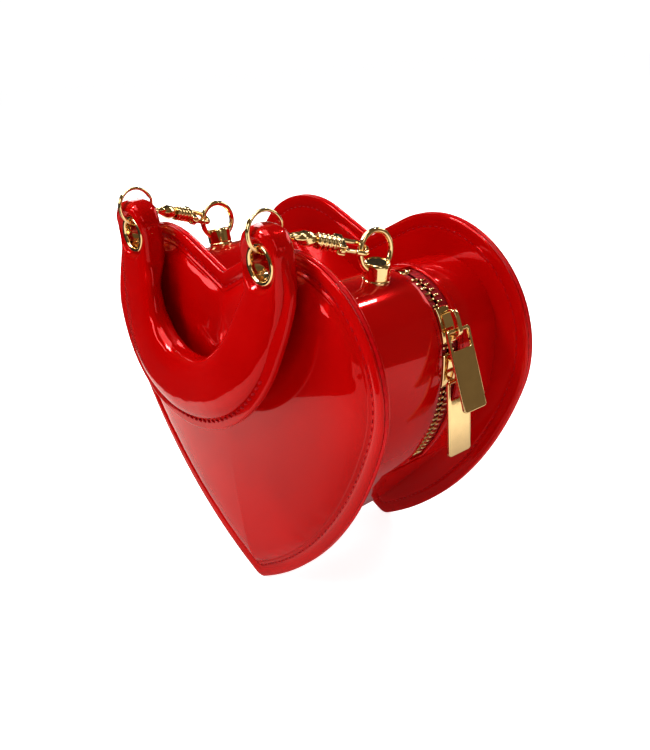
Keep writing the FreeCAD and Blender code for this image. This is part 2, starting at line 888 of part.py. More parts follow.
def build_clasp(side):
    place = clasp_placement(side)
    solid_feature(f"{side}_clasp_hook", hook_shape(), place)
    solid_feature(f"{side}_clasp_gate", gate_shape(), place)
    solid_feature(f"{side}_clasp_gate_spring", spring_shape(), place)
    solid_feature(f"{side}_clasp_swivel_eye", eye_shape(), place)
    deep = size("shoulder_thickness") / 2
    pin = cylinder(
        f"{side}_clasp_gate_pin",
        "pin_radius",
        "shoulder_thickness",
        place.multiply(Placement(pin_place - UP * deep, Rotation())),
    )
    keep(pin, f"{side}_clasp_gate_pin")
    normal = place.Rotation.multVec(UP)
    print(side, "gate pin at", place.multVec(pin_place), "along", normal)
    print(side, "clasp turns about", ring_center(side), "its eye along", clasp_direction(side))
    print(side, "clasp runs from", *clasp_ends(side))


# The handle hangs in front of the front panel from the two handle rings

eyelet_height = handle_hang - size("eyelet_drop")
bend_height = handle_hang - size("handle_arm_rise")
end_radius = size("end_width") / 2
end_center_height = handle_hang + size("end_thickness") / 2 - end_radius
bend_start = (HALF_TURN - size("roll_sweep")) / 2


def stadium(width, thickness):
    """Slot outline about the origin, x across its width."""
    end = thickness / 2
    flat = width / 2 - end
    right = Vector(flat, 0, 0)
    left = Vector(-flat, 0, 0)
    return [
        arc(right, end, -90, 0),
        arc(right, end, 0, 90),
        line(Vector(flat, end, 0), Vector(-flat, end, 0)),
        arc(left, end, 90, 180),
        arc(left, end, 180, 270),
        line(Vector(-flat, -end, 0), Vector(flat, -end, 0)),
    ]


def section(width, thickness, place):
    wire = Part.Wire(Part.__sortEdges__([curve.toShape() for curve in stadium(width, thickness)]))
    wire.Placement = place
    return wire


bend_axis_point = Vector(0, -handle_depth, bend_height)
roll_middle = size("handle_inner_radius") + size("roll_width") / 2


def bend_placement(angle, radius):
    """Frame on the handle's bend: x outward, y towards the back."""
    outward = Vector(cosine(angle), 0, sine(angle))
    return frame_placement(bend_axis_point + outward * radius, outward, BACKWARD)


def bent_roll(width, thickness, trim):
    """The padded roll round the bend, shortened by trim degrees at each end."""
    start = section(width, thickness, bend_placement(-bend_start - trim, roll_middle))
    return Part.Face(start).revolve(bend_axis_point, BACKWARD, size("roll_sweep") - 2 * trim)


def handle_end(sign):
    """One arm from the bend to its flat rounded end."""
    x = sign * size("handle_half_span")
    foot_angle = -bend_start if sign > 0 else bend_start - HALF_TURN
    foot = section(size("roll_width"), size("roll_thickness"), bend_placement(foot_angle, roll_middle))
    flat_start = Vector(x, -handle_end_depth, eyelet_height - size("eyelet_radius"))
    across = ACROSS * sign
    flat = section(size("end_width"), size("end_thickness"), frame_placement(flat_start, across, BACKWARD))
    arm = Part.makeLoft([foot, flat], True, True)
    straight = Part.Face(flat).extrude(UP * (end_center_height - flat_start.z))
    edge = size("end_thickness") / 2
    rim_center = Vector(end_radius - edge, 0, 0)
    half_profile = face([
        line(Vector(0, -edge, 0), Vector(rim_center.x, -edge, 0)),
        arc(rim_center, edge, -90, 0),
        arc(rim_center, edge, 0, 90),
        line(Vector(rim_center.x, edge, 0), Vector(0, edge, 0)),
        line(Vector(0, edge, 0), Vector(0, -edge, 0)),
    ])
    end_center = Vector(x, -handle_end_depth, end_center_height)
    half_profile.Placement = frame_placement(end_center, ACROSS, BACKWARD)
    cap = half_profile.revolve(end_center, BACKWARD, -HALF_TURN)
    return [arm, straight, cap]


def handle_flange():
    """Flat stitched edge outside the roll, running out up the arms."""
    inner = roll_middle + size("roll_width") / 2 - size("flange_thickness")
    outer = roll_middle + size("roll_width") / 2 + size("flange_width")
    center = Vector(0, bend_height, 0)
    arm_x = size("handle_half_span") + end_radius
    top = bend_height - size("flange_width") / 2
    inner_top = Vector(arm_x - 2 * size("flange_thickness"), top, 0)
    outer_top = Vector(arm_x - size("flange_thickness"), top + size("flange_thickness") / 2, 0)
    inner_bend = arc(center, inner, -bend_start, bend_start - HALF_TURN)
    outer_bend = arc(center, outer, -bend_start, bend_start - HALF_TURN)
    outline = face([
        inner_bend,
        outer_bend,
        line(inner_bend.StartPoint, inner_top),
        line(inner_top, outer_top),
        line(outer_top, outer_bend.StartPoint),
        line(inner_bend.EndPoint, mirrored(inner_top)),
        line(mirrored(inner_top), mirrored(outer_top)),
        line(mirrored(outer_top), outer_bend.EndPoint),
    ])
    half = size("flange_thickness") / 2
    slab = outline.extrude(UP * 2 * half)
    slab.Placement = frame_placement(Vector(0, half - handle_depth, 0), ACROSS, UP)
    return slab


def eyelet_axis(side, depth):
    """Placement of a round piece on an eyelet's axis, its length running to the back."""
    spot = Vector(SIDES[side] * size("handle_half_span"), -depth, eyelet_height)
    return Placement(spot, Rotation(ACROSS, -RIGHT_ANGLE))


def build_handle():
    skin = size("roll_skin")
    gap = size("layer_gap")
    width = size("roll_width") - 2 * skin
    thickness = size("roll_thickness") - 2 * skin
    shell = bent_roll(size("roll_width"), size("roll_thickness"), 0)
    shell = shell.fuse(handle_end(1) + handle_end(-1) + [handle_flange()])
    barrel = size("eyelet_hole_radius") + size("eyelet_wall")
    holes = []
    for side in SIDES:
        hole = Part.makeCylinder(barrel, size("end_thickness"))
        hole.Placement = eyelet_axis(side, handle_end_depth + size("end_thickness") / 2)
        holes.append(hole)
    trim = math.degrees(skin / roll_middle)
    shell = shell.cut(holes + [bent_roll(width, thickness, trim)])
    solid_feature("handle_cover", shell.removeSplitter())
    core_trim = math.degrees((skin + gap) / roll_middle)
    solid_feature("handle_core", bent_roll(width - 2 * gap, thickness - 2 * gap, core_trim))
    for side in SIDES:
        build_eyelet(side)
        build_handle_ring(side)


def build_eyelet(side):
    """Barrel with its front rim, and the washer that it is set over at the back."""
    face_depth = handle_end_depth + size("end_thickness") / 2
    front = eyelet_axis(side, face_depth + size("eyelet_rim"))
    rim_disc = cylinder(f"{side}_eyelet_disc", "eyelet_radius", "eyelet_rim", front)
    tube = cylinder(
        f"{side}_eyelet_tube", "eyelet_hole_radius + eyelet_wall", "eyelet_rim * 2 + end_thickness", front
    )
    bore = cylinder(f"{side}_eyelet_bore", "eyelet_hole_radius", "eyelet_rim * 2 + end_thickness", front)
    blank = fuse(f"{side}_eyelet_blank", rim_disc, tube)
    keep(cut(f"{side}_handle_eyelet", blank, bore), f"{side}_handle_eyelet")
    back = eyelet_axis(side, handle_end_depth - size("end_thickness") / 2)
    washer = cylinder(f"{side}_eyelet_washer_disc", "eyelet_radius", "eyelet_rim", back)
    washer_bore = cylinder(f"{side}_eyelet_washer_bore", "eyelet_hole_radius + eyelet_wall", "eyelet_rim", back)
    keep(cut(f"{side}_eyelet_washer", washer, washer_bore), f"{side}_eyelet_washer")


def build_handle_ring(side):
    """Split ring of two turns, pressed side by side."""
    center = handle_ring_center(side)
    half_pitch = ACROSS * (size("handle_ring_pitch") / 2)
    turns = [
        torus(f"{side}_ring_turn_{k}", "handle_ring_radius", "handle_ring_wire", facing_x(center + shift))
        for k, shift in enumerate((half_pitch, half_pitch * -1))
    ]
    keep(fuse(f"{side}_handle_ring", *turns), f"{side}_handle_ring")
    print(side, "handle ring about", center)


def check_and_write():
    doc.recompute()
    for item in doc.Objects:
        if "Invalid" in item.State or "Error" in item.State:
            raise RuntimeError("failed: " + item.Label + " " + str(item.State))
    for node in nodes:
        if node.Shape.isNull() or not node.Shape.isValid():
            raise RuntimeError("bad shape: " + node.Label)
    os.makedirs("parts", exist_ok=True)
    for node in nodes:
        node.Shape.exportStep(f"parts/{node.Label}.step")
    print(len(nodes), "sub-parts written")


build_panel("front", FRONT_RIM, "+")
build_panel("back", BACK_RIM, "-")
build_wall()
build_linings()
build_zip()
build_slider(
    "upper", wall_lobe_center, size("wall_lobe_radius"), size("upper_slider_angle"), size("upper_tab_lean")
)
build_slider("lower", wall_side_center, size("wall_side_radius"), size("lower_slider_angle"), 0)
for stud_side in SIDES:
    build_stud(stud_side)
    build_clasp(stud_side)
build_handle()
check_and_write()
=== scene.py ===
import json
import math

import bmesh
import bpy
import numpy as np
from mathutils import Matrix, Vector, noise


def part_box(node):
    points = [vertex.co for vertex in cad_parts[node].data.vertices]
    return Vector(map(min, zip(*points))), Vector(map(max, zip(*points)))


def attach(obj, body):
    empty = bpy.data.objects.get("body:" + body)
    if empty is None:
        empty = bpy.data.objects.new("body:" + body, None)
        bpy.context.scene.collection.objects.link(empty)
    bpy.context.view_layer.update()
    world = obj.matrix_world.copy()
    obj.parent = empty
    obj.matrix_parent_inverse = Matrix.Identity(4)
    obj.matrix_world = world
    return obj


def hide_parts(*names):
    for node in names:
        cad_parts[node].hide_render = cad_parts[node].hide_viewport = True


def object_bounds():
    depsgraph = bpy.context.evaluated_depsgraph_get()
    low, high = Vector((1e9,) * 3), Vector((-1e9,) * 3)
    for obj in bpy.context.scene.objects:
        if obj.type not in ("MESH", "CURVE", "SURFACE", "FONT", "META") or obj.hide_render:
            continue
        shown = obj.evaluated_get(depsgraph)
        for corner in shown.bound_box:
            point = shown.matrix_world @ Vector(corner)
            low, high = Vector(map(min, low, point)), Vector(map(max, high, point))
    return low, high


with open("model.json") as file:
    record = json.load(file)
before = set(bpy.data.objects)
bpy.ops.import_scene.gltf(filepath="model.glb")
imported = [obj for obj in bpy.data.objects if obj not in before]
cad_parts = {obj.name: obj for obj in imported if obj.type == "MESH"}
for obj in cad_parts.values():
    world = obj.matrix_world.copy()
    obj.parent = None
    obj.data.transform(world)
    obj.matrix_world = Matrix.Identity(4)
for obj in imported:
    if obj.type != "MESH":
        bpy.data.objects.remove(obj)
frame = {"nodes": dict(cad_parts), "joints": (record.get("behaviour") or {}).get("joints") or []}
cad_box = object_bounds()
scene = bpy.context.scene

# Heart shaped purse: its looks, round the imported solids. Lengths here are in millimetres.
MM = 0.001


def low(node):
    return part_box(node)[0] / MM


def high(node):
    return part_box(node)[1] / MM


def middle(node):
    return (low(node) + high(node)) / 2


# Heart panels
HEART_WIDTH = high("front_panel_board").x - low("front_panel_board").x
HEART_HEIGHT = 174
LOBE_RADIUS = high("front_panel_board").z
LOBE_X = HEART_WIDTH / 2 - LOBE_RADIUS
CLEFT_DEPTH = 16.2
SIDE_START = math.radians(-22)
TIP_RADIUS = 8
TIP_HEIGHT = LOBE_RADIUS - HEART_HEIGHT
COVER = 1.2
BACKING = 1.2
RIM = 4.0
GAP = 0.05
FRONT_RIM = low("front_panel_board").y - COVER - GAP
BACK_RIM = high("back_panel_board").y + COVER + GAP
DOME_INSET = 8
DOME_RISE = FRONT_RIM - low("front_panel_cover").y
DOME_RUN = 40
DOME_POWER = 2.3
SHOULDER_RISE = 1.8
SHOULDER_RUN = 2.8
STITCH_INSET = 6.1
STITCH_PITCH = 3.7

# Side wall
WALL = 1.6
WALL_INSET = 18
WALL_LOBE = 30
WALL_LOBE_CENTER = (HEART_WIDTH / 2 - WALL_INSET - WALL_LOBE, LOBE_RADIUS - WALL_INSET - WALL_LOBE)
WALL_SIDE = 88
WALL_SIDE_CENTER = (HEART_WIDTH / 2 - WALL_INSET - WALL_SIDE, WALL_LOBE_CENTER[1])
WALL_SWEEP = math.radians(47)
LINING = 0.8

# Zip
ZIP_Y = (high("zip_teeth_front").y + low("zip_teeth_back").y) / 2
ZIP_TOP = math.radians(86)
ZIP_BOTTOM = math.radians(-43)
TAPE = 0.6
CHAIN_INSET = WALL + GAP + TAPE / 2
TOOTH_PITCH = 3.0
TOOTH_REACH = 3.5
TOOTH_MIDDLE = 1.7


def polar(center, radius, angle):
    return (center[0] + radius * math.cos(angle), center[1] + radius * math.sin(angle))


def spread(start, end, count):
    return [start + (end - start) * k / count for k in range(count + 1)]


def round_angles(count):
    return [2 * math.pi * k / count for k in range(count)]


def placement(origin, x_axis, y_axis, z_axis):
    """A place with three axes of its own."""
    return Matrix.Translation(origin) @ Matrix((x_axis, y_axis, z_axis)).transposed().to_4x4()


def smooth_step(value):
    held = min(max(value, 0.0), 1.0)
    return held * held * (3 - 2 * held)


# Mesh helpers


def make_object(name, vertices, faces, material, sharp=None):
    mesh = bpy.data.meshes.new(name)
    mesh.from_pydata([Vector(point) * MM for point in vertices], [], faces)
    working = bmesh.new()
    working.from_mesh(mesh)
    bmesh.ops.remove_doubles(working, verts=working.verts, dist=1e-7)
    bmesh.ops.recalc_face_normals(working, faces=working.faces)
    working.to_mesh(mesh)
    working.free()
    mesh.materials.append(material)
    mesh.shade_smooth()
    if sharp:
        mesh.set_sharp_from_angle(angle=math.radians(sharp))
    made = bpy.data.objects.new(name, mesh)
    scene.collection.objects.link(made)
    return made


def skin(rings, loop=False, fan=True):
    """Vertices and faces over rings of equally many points, with fans or flat faces over the ends."""
    count = len(rings[0])
    vertices = [point for ring in rings for point in ring]
    faces = []
    last = len(rings) if loop else len(rings) - 1
    for k in range(last):
        lower = k * count
        upper = ((k + 1) % len(rings)) * count
        for i in range(count):
            j = (i + 1) % count
            faces.append((lower + i, lower + j, upper + j, upper + i))
    if not loop:
        for ring_start, ring in ((0, rings[0]), ((len(rings) - 1) * count, rings[-1])):
            if not fan:
                faces.append(tuple(range(ring_start, ring_start + count)))
                continue
            vertices.append(tuple(np.mean(np.array(ring, float), axis=0)))
            hub = len(vertices) - 1
            faces += [(ring_start + i, ring_start + (i + 1) % count, hub) for i in range(count)]
    return vertices, faces


def prism(outline, start, end, place):
    """A flat piece with an outline of (x, y) points between two heights of a placement."""
    rings = [[tuple(place @ Vector((x, y, height))) for x, y in outline] for height in (start, end)]
    return skin(rings, fan=False)


def settle(made):
    """Apply an object's modifiers to its mesh."""
    graph = bpy.context.evaluated_depsgraph_get()
    mesh = bpy.data.meshes.new_from_object(made.evaluated_get(graph))
    made.modifiers.clear()
    old = made.data
    made.data = mesh
    bpy.data.meshes.remove(old)


def cut_out(made, cutters):
    """Cut other objects out of one and remove them; a cut that changes its outer size is undone."""
    whole = made.data.copy()
    size = made.dimensions.copy()
    for cutter in cutters:
        step = made.modifiers.new("cut", "BOOLEAN")
        step.operation = "DIFFERENCE"
        step.solver = "EXACT"
        step.object = cutter
    settle(made)
    for cutter in cutters:
        bpy.data.objects.remove(cutter)
    bpy.context.view_layer.update()
    if (made.dimensions - size).length > MM:
        made.data = whole
    else:
        bpy.data.meshes.remove(whole)


def joined(made, others):
    """Put the meshes of other objects into one object."""
    working = bmesh.new()
    for item in [made] + others:
        working.from_mesh(item.data)
    working.to_mesh(made.data)
    working.free()
    for item in others:
        bpy.data.objects.remove(item)


def smooth(made, sharp):
    """Shade an object smooth, apart from edges sharper than an angle."""
    made.data.shade_smooth()
    made.data.set_sharp_from_angle(angle=math.radians(sharp))


def soften(made, width, segments=3, angle=35):
    """Round an object's sharp edges."""
    step = made.modifiers.new("soften", "BEVEL")
    step.width = width * MM
    step.segments = segments
    step.limit_method = "ANGLE"
    step.angle_limit = math.radians(angle)
    step.harden_normals = False
    settle(made)
    smooth(made, angle)
    return made


def merged(parts):
    """Several (vertices, faces) as one."""
    vertices = []
    faces = []
    for part_vertices, part_faces in parts:
        shift = len(vertices)
        vertices += part_vertices
        faces += [tuple(index + shift for index in face) for face in part_faces]
    return vertices, faces


def frames_along(points, closed=False):
    """Tangent and two normals at each point of a path, turned as little as can be."""
    points = [Vector(point) for point in points]
    count = len(points)
    tangents = []
    for k in range(count):
        before = points[k - 1] if closed or k > 0 else points[k]
        after = points[(k + 1) % count] if closed or k < count - 1 else points[k]
        tangents.append((after - before).normalized())
    side = tangents[0].orthogonal().normalized()
    frames = []
    for tangent in tangents:
        side = (side - tangent * side.dot(tangent)).normalized()
        frames.append((tangent, side, tangent.cross(side)))
    return frames


def tube(points, radius, sides=20, closed=False):
    """A round wire along a path; radius is a number or one for each point."""
    radii = radius if isinstance(radius, list) else [radius] * len(points)
    rings = []
    for point, reach, (_, side, lift) in zip(points, radii, frames_along(points, closed)):
        rings.append([
            tuple(Vector(point) + (side * math.cos(a) + lift * math.sin(a)) * reach)
            for a in round_angles(sides)
        ])
    return skin(rings, loop=closed)


def lathe(profile, place, sides=48, loop=False, flutes=0, depth=0.0, twist=0.0):
    """Turn (along, radius) points about the x axis of a placement, with flutes if asked."""
    rings = []
    for along, radius in profile:
        ring = []
        for a in round_angles(sides):
            reach = radius * (1 + depth * math.cos(flutes * a + twist * along))
            ring.append(tuple(place @ Vector((along, reach * math.cos(a), reach * math.sin(a)))))
        rings.append(ring)
    return skin(rings, loop=loop)


def torus(center, axis, radius, wire, around=96, sides=24):
    axis = Vector(axis).normalized()
    first = axis.orthogonal().normalized()
    second = axis.cross(first)
    path = []
    for a in round_angles(around):
        path.append(tuple(Vector(center) + (first * math.cos(a) + second * math.sin(a)) * radius))
    return tube(path, wire, sides, closed=True)


# Materials


class Look:
    """A Principled material that is built up from procedural layers."""

    def __init__(self, name):
        self.material = bpy.data.materials.new(name)
        self.material.use_nodes = True
        self.tree = self.material.node_tree
        self.shader = self.tree.nodes["Principled BSDF"]
        self.height = None

    def node(self, kind, **values):
        made = self.tree.nodes.new(kind)
        for key, value in values.items():
            if key in made.inputs:
                made.inputs[key].default_value = value
            else:
                setattr(made, key, value)
        return made

    def link(self, source, target):
        self.tree.links.new(source, target)

    def set(self, **values):
        for key, value in values.items():
            self.shader.inputs[key.replace("_", " ")].default_value = value
        return self

    def place(self, stretch=(1, 1, 1)):
        coordinates = self.node("ShaderNodeTexCoord")
        mapping = self.node("ShaderNodeMapping", Scale=stretch)
        self.link(coordinates.outputs["Object"], mapping.inputs["Vector"])
        return mapping.outputs["Vector"]

    def noise(self, scale, detail=3.0, stretch=(1, 1, 1)):
        made = self.node("ShaderNodeTexNoise", Scale=scale, Detail=detail)
        self.link(self.place(stretch), made.inputs["Vector"])
        return made.outputs["Fac"]

    def wave(self, scale, direction, distortion=0.0):
        made = self.node("ShaderNodeTexWave", Scale=scale, Distortion=distortion)
        made.bands_direction = direction
        self.link(self.place(), made.inputs["Vector"])
        return made.outputs["Fac"]

    def ramp(self, source, first, second, start=0.35, end=0.65):
        made = self.node("ShaderNodeValToRGB")
        made.color_ramp.elements[0].position = start
        made.color_ramp.elements[1].position = end
        made.color_ramp.elements[0].color = (*first, 1)
        made.color_ramp.elements[1].color = (*second, 1)
        self.link(source, made.inputs["Fac"])
        return made.outputs["Color"]

    def colours(self, source, first, second, start=0.35, end=0.65):
        self.link(self.ramp(source, first, second, start, end), self.shader.inputs["Base Color"])
        return self

    def roughness(self, source, lowest, highest):
        made = self.node("ShaderNodeMapRange")
        made.inputs["To Min"].default_value = lowest
        made.inputs["To Max"].default_value = highest
        self.link(source, made.inputs["Value"])
        self.link(made.outputs["Result"], self.shader.inputs["Roughness"])
        return self

    def bump(self, source, distance, strength=1.0, coat=False):
        made = self.node("ShaderNodeBump", Strength=strength, Distance=distance)
        self.link(source, made.inputs["Height"])
        if self.height:
            self.link(self.height, made.inputs["Normal"])
        self.height = made.outputs["Normal"]
        self.link(self.height, self.shader.inputs["Normal"])
        if coat:
            self.link(self.height, self.shader.inputs["Coat Normal"])
        return self


def patent_leather(name, dark, bright):
    look = Look(name)
    look.set(Metallic=0.3, Specular_IOR_Level=0.0, Coat_Weight=1.0, Coat_Roughness=0.012, Coat_IOR=1.22)
    look.colours(look.noise(14, 2), dark, bright)
    look.roughness(look.noise(90, 4), 0.10, 0.18)
    look.bump(look.noise(26, 1), 0.0006, 0.3, coat=True)
    look.bump(look.noise(900, 2), 0.00001, 0.15, coat=True)
    return look.material


def polished_gold(name, tone=(0.94, 0.68, 0.33)):
    look = Look(name)
    deeper = tuple(value * 0.9 for value in tone)
    look.set(Metallic=1.0)
    look.colours(look.noise(120, 3), deeper, tone)
    look.roughness(look.noise(420, 5), 0.05, 0.14)
    look.bump(look.noise(700, 2), 0.00003, 0.3)
    return look.material


def steel(name):
    look = Look(name)
    look.set(Metallic=1.0)
    look.colours(look.noise(200, 3), (0.42, 0.42, 0.43), (0.6, 0.6, 0.6))
    look.roughness(look.noise(800, 4), 0.18, 0.38)
    look.bump(look.noise(1500, 3), 0.00002, 0.4)
    return look.material


def woven(name, dark, bright, threads):
    look = Look(name)
    look.set(Specular_IOR_Level=0.2, Sheen_Weight=0.1, Sheen_Roughness=0.4, Sheen_Tint=(1, 0.2, 0.2, 1))
    across = look.wave(threads, "Y", 0.4)
    along = look.wave(threads, "Z", 0.4)
    mixed = look.node("ShaderNodeMath", operation="MULTIPLY")
    look.link(across, mixed.inputs[0])
    look.link(along, mixed.inputs[1])
    look.colours(mixed.outputs["Value"], dark, bright, 0.0, 0.8)
    look.roughness(look.noise(300, 3), 0.45, 0.7)
    look.bump(mixed.outputs["Value"], 0.0001, 0.6)
    return look.material


def thread(name):
    look = Look(name)
    look.set(Specular_IOR_Level=0.05)
    twist = look.wave(1500, "DIAGONAL", 0.5)
    look.colours(twist, (0.16, 0.0, 0.001), (0.34, 0.0, 0.003))
    look.roughness(look.noise(900, 2), 0.4, 0.6)
    look.bump(twist, 0.00008, 0.6)
    return look.material


def matte(name, dark, bright, scale, rough=(0.7, 0.95), specular=0.5):
    look = Look(name)
    look.set(Specular_IOR_Level=specular)
    grain = look.noise(scale, 5)
    look.colours(grain, dark, bright)
    look.roughness(look.noise(scale * 2, 3), *rough)
    look.bump(grain, 0.0002, 0.5)
    return look.material


LEATHER = patent_leather("patent_leather", (0.33, 0.0, 0.0), (0.40, 0.001, 0.001))
EDGE = matte("painted_edge", (0.34, 0.0, 0.001), (0.46, 0.0, 0.002), 500, (0.3, 0.5), 0.05)
GOLD = polished_gold("polished_gold")
THREAD = thread("red_thread")
# Near-black colour of the needle holes: painted shade inside the holes.
NEEDLE_HOLE_SHADE = matte("needle_hole_painted_shade", (0.03, 0.0, 0.0), (0.06, 0.0, 0.001), 900, (0.8, 0.95), 0.0)
TAPE_CLOTH = woven("zip_tape_cloth", (0.16, 0.0, 0.002), (0.42, 0.002, 0.006), 500)
LINING_CLOTH = woven("lining_cloth", (0.10, 0.0, 0.002), (0.24, 0.004, 0.008), 380)
FOAM = matte("foam", (0.72, 0.66, 0.5), (0.86, 0.8, 0.66), 700)
STEEL = steel("plated_steel")

# The heart's outline and grids of points inside it

cleft_height = LOBE_RADIUS - CLEFT_DEPTH
cleft_slope = math.atan2(-cleft_height, LOBE_X) + math.asin(LOBE_RADIUS / math.hypot(LOBE_X, cleft_height))
lobe_start = math.pi / 2 + cleft_slope


def side_arc():
    """Centre and radius of the arc from a lobe, tangent to it, down to the tip."""
    reach = Vector((-LOBE_X, TIP_HEIGHT))
    outward = Vector((math.cos(SIDE_START), math.sin(SIDE_START)))
    along = reach.dot(outward)
    radius = LOBE_RADIUS
    large = (reach.dot(reach) - 2 * radius * along + radius**2) / (2 * (radius - along))
    center = Vector((LOBE_X, 0)) + outward * (radius - large)
    return (center.x, center.y), large


side_center, side_radius = side_arc()


def heart(inset):
    """Points round the outline, drawn in by inset, from the cleft clockwise."""
    lobe = LOBE_RADIUS - inset
    side = side_radius - inset
    tip = max(TIP_RADIUS - inset, 1.0)
    tip_height = side_center[1] - math.sqrt((side - tip) ** 2 - side_center[0] ** 2)
    side_end = math.atan2(tip_height - side_center[1], -side_center[0])
    shoulder = polar((LOBE_X, 0), lobe, lobe_start)
    cleft = (0, shoulder[1] - shoulder[0] * math.tan(cleft_slope))
    right = [(shoulder[0] * t, cleft[1] + (shoulder[1] - cleft[1]) * t) for t in spread(0, 1, 12)]
    right += [polar((LOBE_X, 0), lobe, a) for a in spread(lobe_start, SIDE_START, 64)[1:]]
    right += [polar(side_center, side, a) for a in spread(SIDE_START, side_end, 56)[1:]]
    right += [polar((0, tip_height), tip, a) for a in spread(side_end, -math.pi / 2, 10)[1:]]
    left = [(-x, z) for x, z in right[-2:0:-1]]
    return np.array(right + left)


OUTLINE = heart(0)
DEEPEST_INSET = 27
CENTER = np.array([0.0, -14.0])


def distance_in(points):
    """Distance of each point from the heart's outline."""
    starts = OUTLINE
    steps = np.roll(OUTLINE, -1, axis=0) - OUTLINE
    best = np.full(len(points), np.inf)
    for start, step in zip(starts, steps):
        t = np.clip((points - start) @ step / (step @ step), 0, 1)
        best = np.minimum(best, np.linalg.norm(points - start - t[:, None] * step, axis=1))
    return best


def dome_height(distance):
    """Rise of the padded dome at a distance from the outline: a small shoulder, then a long swell."""
    past = np.clip(distance - DOME_INSET, 0, DOME_RUN)
    shoulder = SHOULDER_RISE * (1 - np.exp(-past / SHOULDER_RUN))
    return shoulder + (DOME_RISE - SHOULDER_RISE) * (1 - (1 - past / DOME_RUN) ** DOME_POWER)


# Gathers along the seam: height, scale and layer of each noise, and the run over which they fade
GATHERS = ((0.45, 0.16, 3.0), (0.3, 0.37, 9.0))
GATHER_FADE = 6
CREASE_DEEP = 0.4
CREASE_HALF = 5.5
CREASE_RUN = 16


def puckers(points, distance):
    """Small gathers in the leather along the seam, and the crease that runs down from the cleft."""
    rise = []
    for (x, z), gap in zip(points, distance):
        past = max(0.0, gap - DOME_INSET)
        gather = sum(rise * noise.noise(Vector((x, layer, z)) * scale) for rise, scale, layer in GATHERS)
        fade = math.exp(-past / GATHER_FADE) * smooth_step(past / 1.5)
        drop = max(0.0, cleft_height - DOME_INSET - z)
        along = math.exp(-drop / CREASE_RUN) * smooth_step(past / 3)
        crease = CREASE_DEEP * math.exp(-abs(x) / CREASE_HALF) * along
        rise.append(gather * fade - crease)
    return np.array(rise)


def heart_grid(insets, inner_steps=14):
    """Rings of points from the outline in to the centre."""
    rings = [heart(inset) for inset in insets]
    last = rings[-1]
    for k in range(1, inner_steps):
        share = 1 - k / inner_steps
        rings.append(CENTER + (last - CENTER) * share)
    return rings


def relax(heights, fixed_rings, rounds):
    """Even out heights over a grid of rings, leaving the outer rings."""
    grid = np.array(heights)
    for _ in range(rounds):
        inner = grid[fixed_rings:]
        outward = grid[fixed_rings - 1:-1]
        inward = np.vstack([grid[fixed_rings + 1:], grid[-1:].mean() * np.ones((1, grid.shape[1]))])
        around = (np.roll(inner, 1, axis=1) + np.roll(inner, -1, axis=1)) / 2
        grid[fixed_rings:] = 0.5 * inner + 0.3 * around + 0.1 * (outward + inward)
    return grid


RIM_PROFILE = [
    (0.0, -0.6), (0.08, -0.25), (0.35, -0.03), (0.9, 0.18), (1.8, 0.36), (2.9, 0.42), (4.0, 0.34),
    (4.9, 0.1), (5.5, -0.2), (6.1, -0.42), (6.7, -0.24), (7.3, 0.1), (7.8, 0.6),
]
DOME_INSETS = [8.2, 8.6, 9.1, 9.8, 10.7, 11.8, 13.2, 15, 17.2, 20, 23.5, DEEPEST_INSET]


def rim_rings(profile, rim_y, sign):
    return [
        [(x, rim_y - sign * height, z) for x, z in heart(inset)]
        for inset, height in profile
    ]


def raised(grid, heights, rim_y, sign):
    """Rings of points at heights over a panel's rim."""
    return [
        [(x, rim_y - sign * height, z) for (x, z), height in zip(ring, row)]
        for ring, row in zip(grid, heights)
    ]


RELAX_ROUNDS = 160
FOAM_GAP = 0.15
FOAM_SINK = 0.5


def panel_cover(side, rim_y, sign):
    """Padded cover of one panel; sign is 1 where the front is outward."""
    base = [height for _, height in RIM_PROFILE]
    grid = heart_grid([inset for inset, _ in RIM_PROFILE] + DOME_INSETS)
    heights = [np.full(len(grid[0]), height) for height in base]
    for ring in grid[len(base):]:
        heights.append(dome_height(distance_in(ring)))
    heights = relax(heights, len(base) + 5, RELAX_ROUNDS)
    for row, ring in zip(heights[len(base):], grid[len(base):]):
        row += puckers(ring, distance_in(ring))
    top = raised(grid, heights, rim_y, sign)
    under_insets = [0.08, 0.5, 3, 6, DOME_INSET]
    under_heights = [-0.95, -COVER, -COVER, -COVER, -COVER]
    under = rim_rings(list(zip(under_insets, under_heights)), rim_y, sign)
    inside = len(base) + 4
    hollow = raised(grid[inside:], heights[inside:] - COVER, rim_y, sign)
    made = make_object(f"{side}_padded_cover", *skin(list(reversed(under + hollow)) + top), LEATHER)
    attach(made, "bag")
    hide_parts(f"{side}_panel_cover")


def panel_foam(side, rim_y, sign):
    """Foam pad under the cover, on the board."""
    skin_gap = COVER + FOAM_GAP
    insets = [DOME_INSET + skin_gap + extra for extra in (0, 0.3, 0.8, 1.6, 2.8, 4.5, 7, 10, 14)]
    grid = heart_grid(insets)
    heights = [dome_height(distance_in(ring) - skin_gap) - skin_gap for ring in grid]
    heights = relax(heights, 5, RELAX_ROUNDS) - FOAM_SINK
    top = raised(grid, heights, rim_y, sign)
    base = [[(x, rim_y + sign * skin_gap, z) for x, z in ring] for ring in grid]
    made = make_object(f"{side}_foam_pad", *skin(list(reversed(base[1:])) + top), FOAM)
    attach(made, "bag")
    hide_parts(f"{side}_panel_foam")


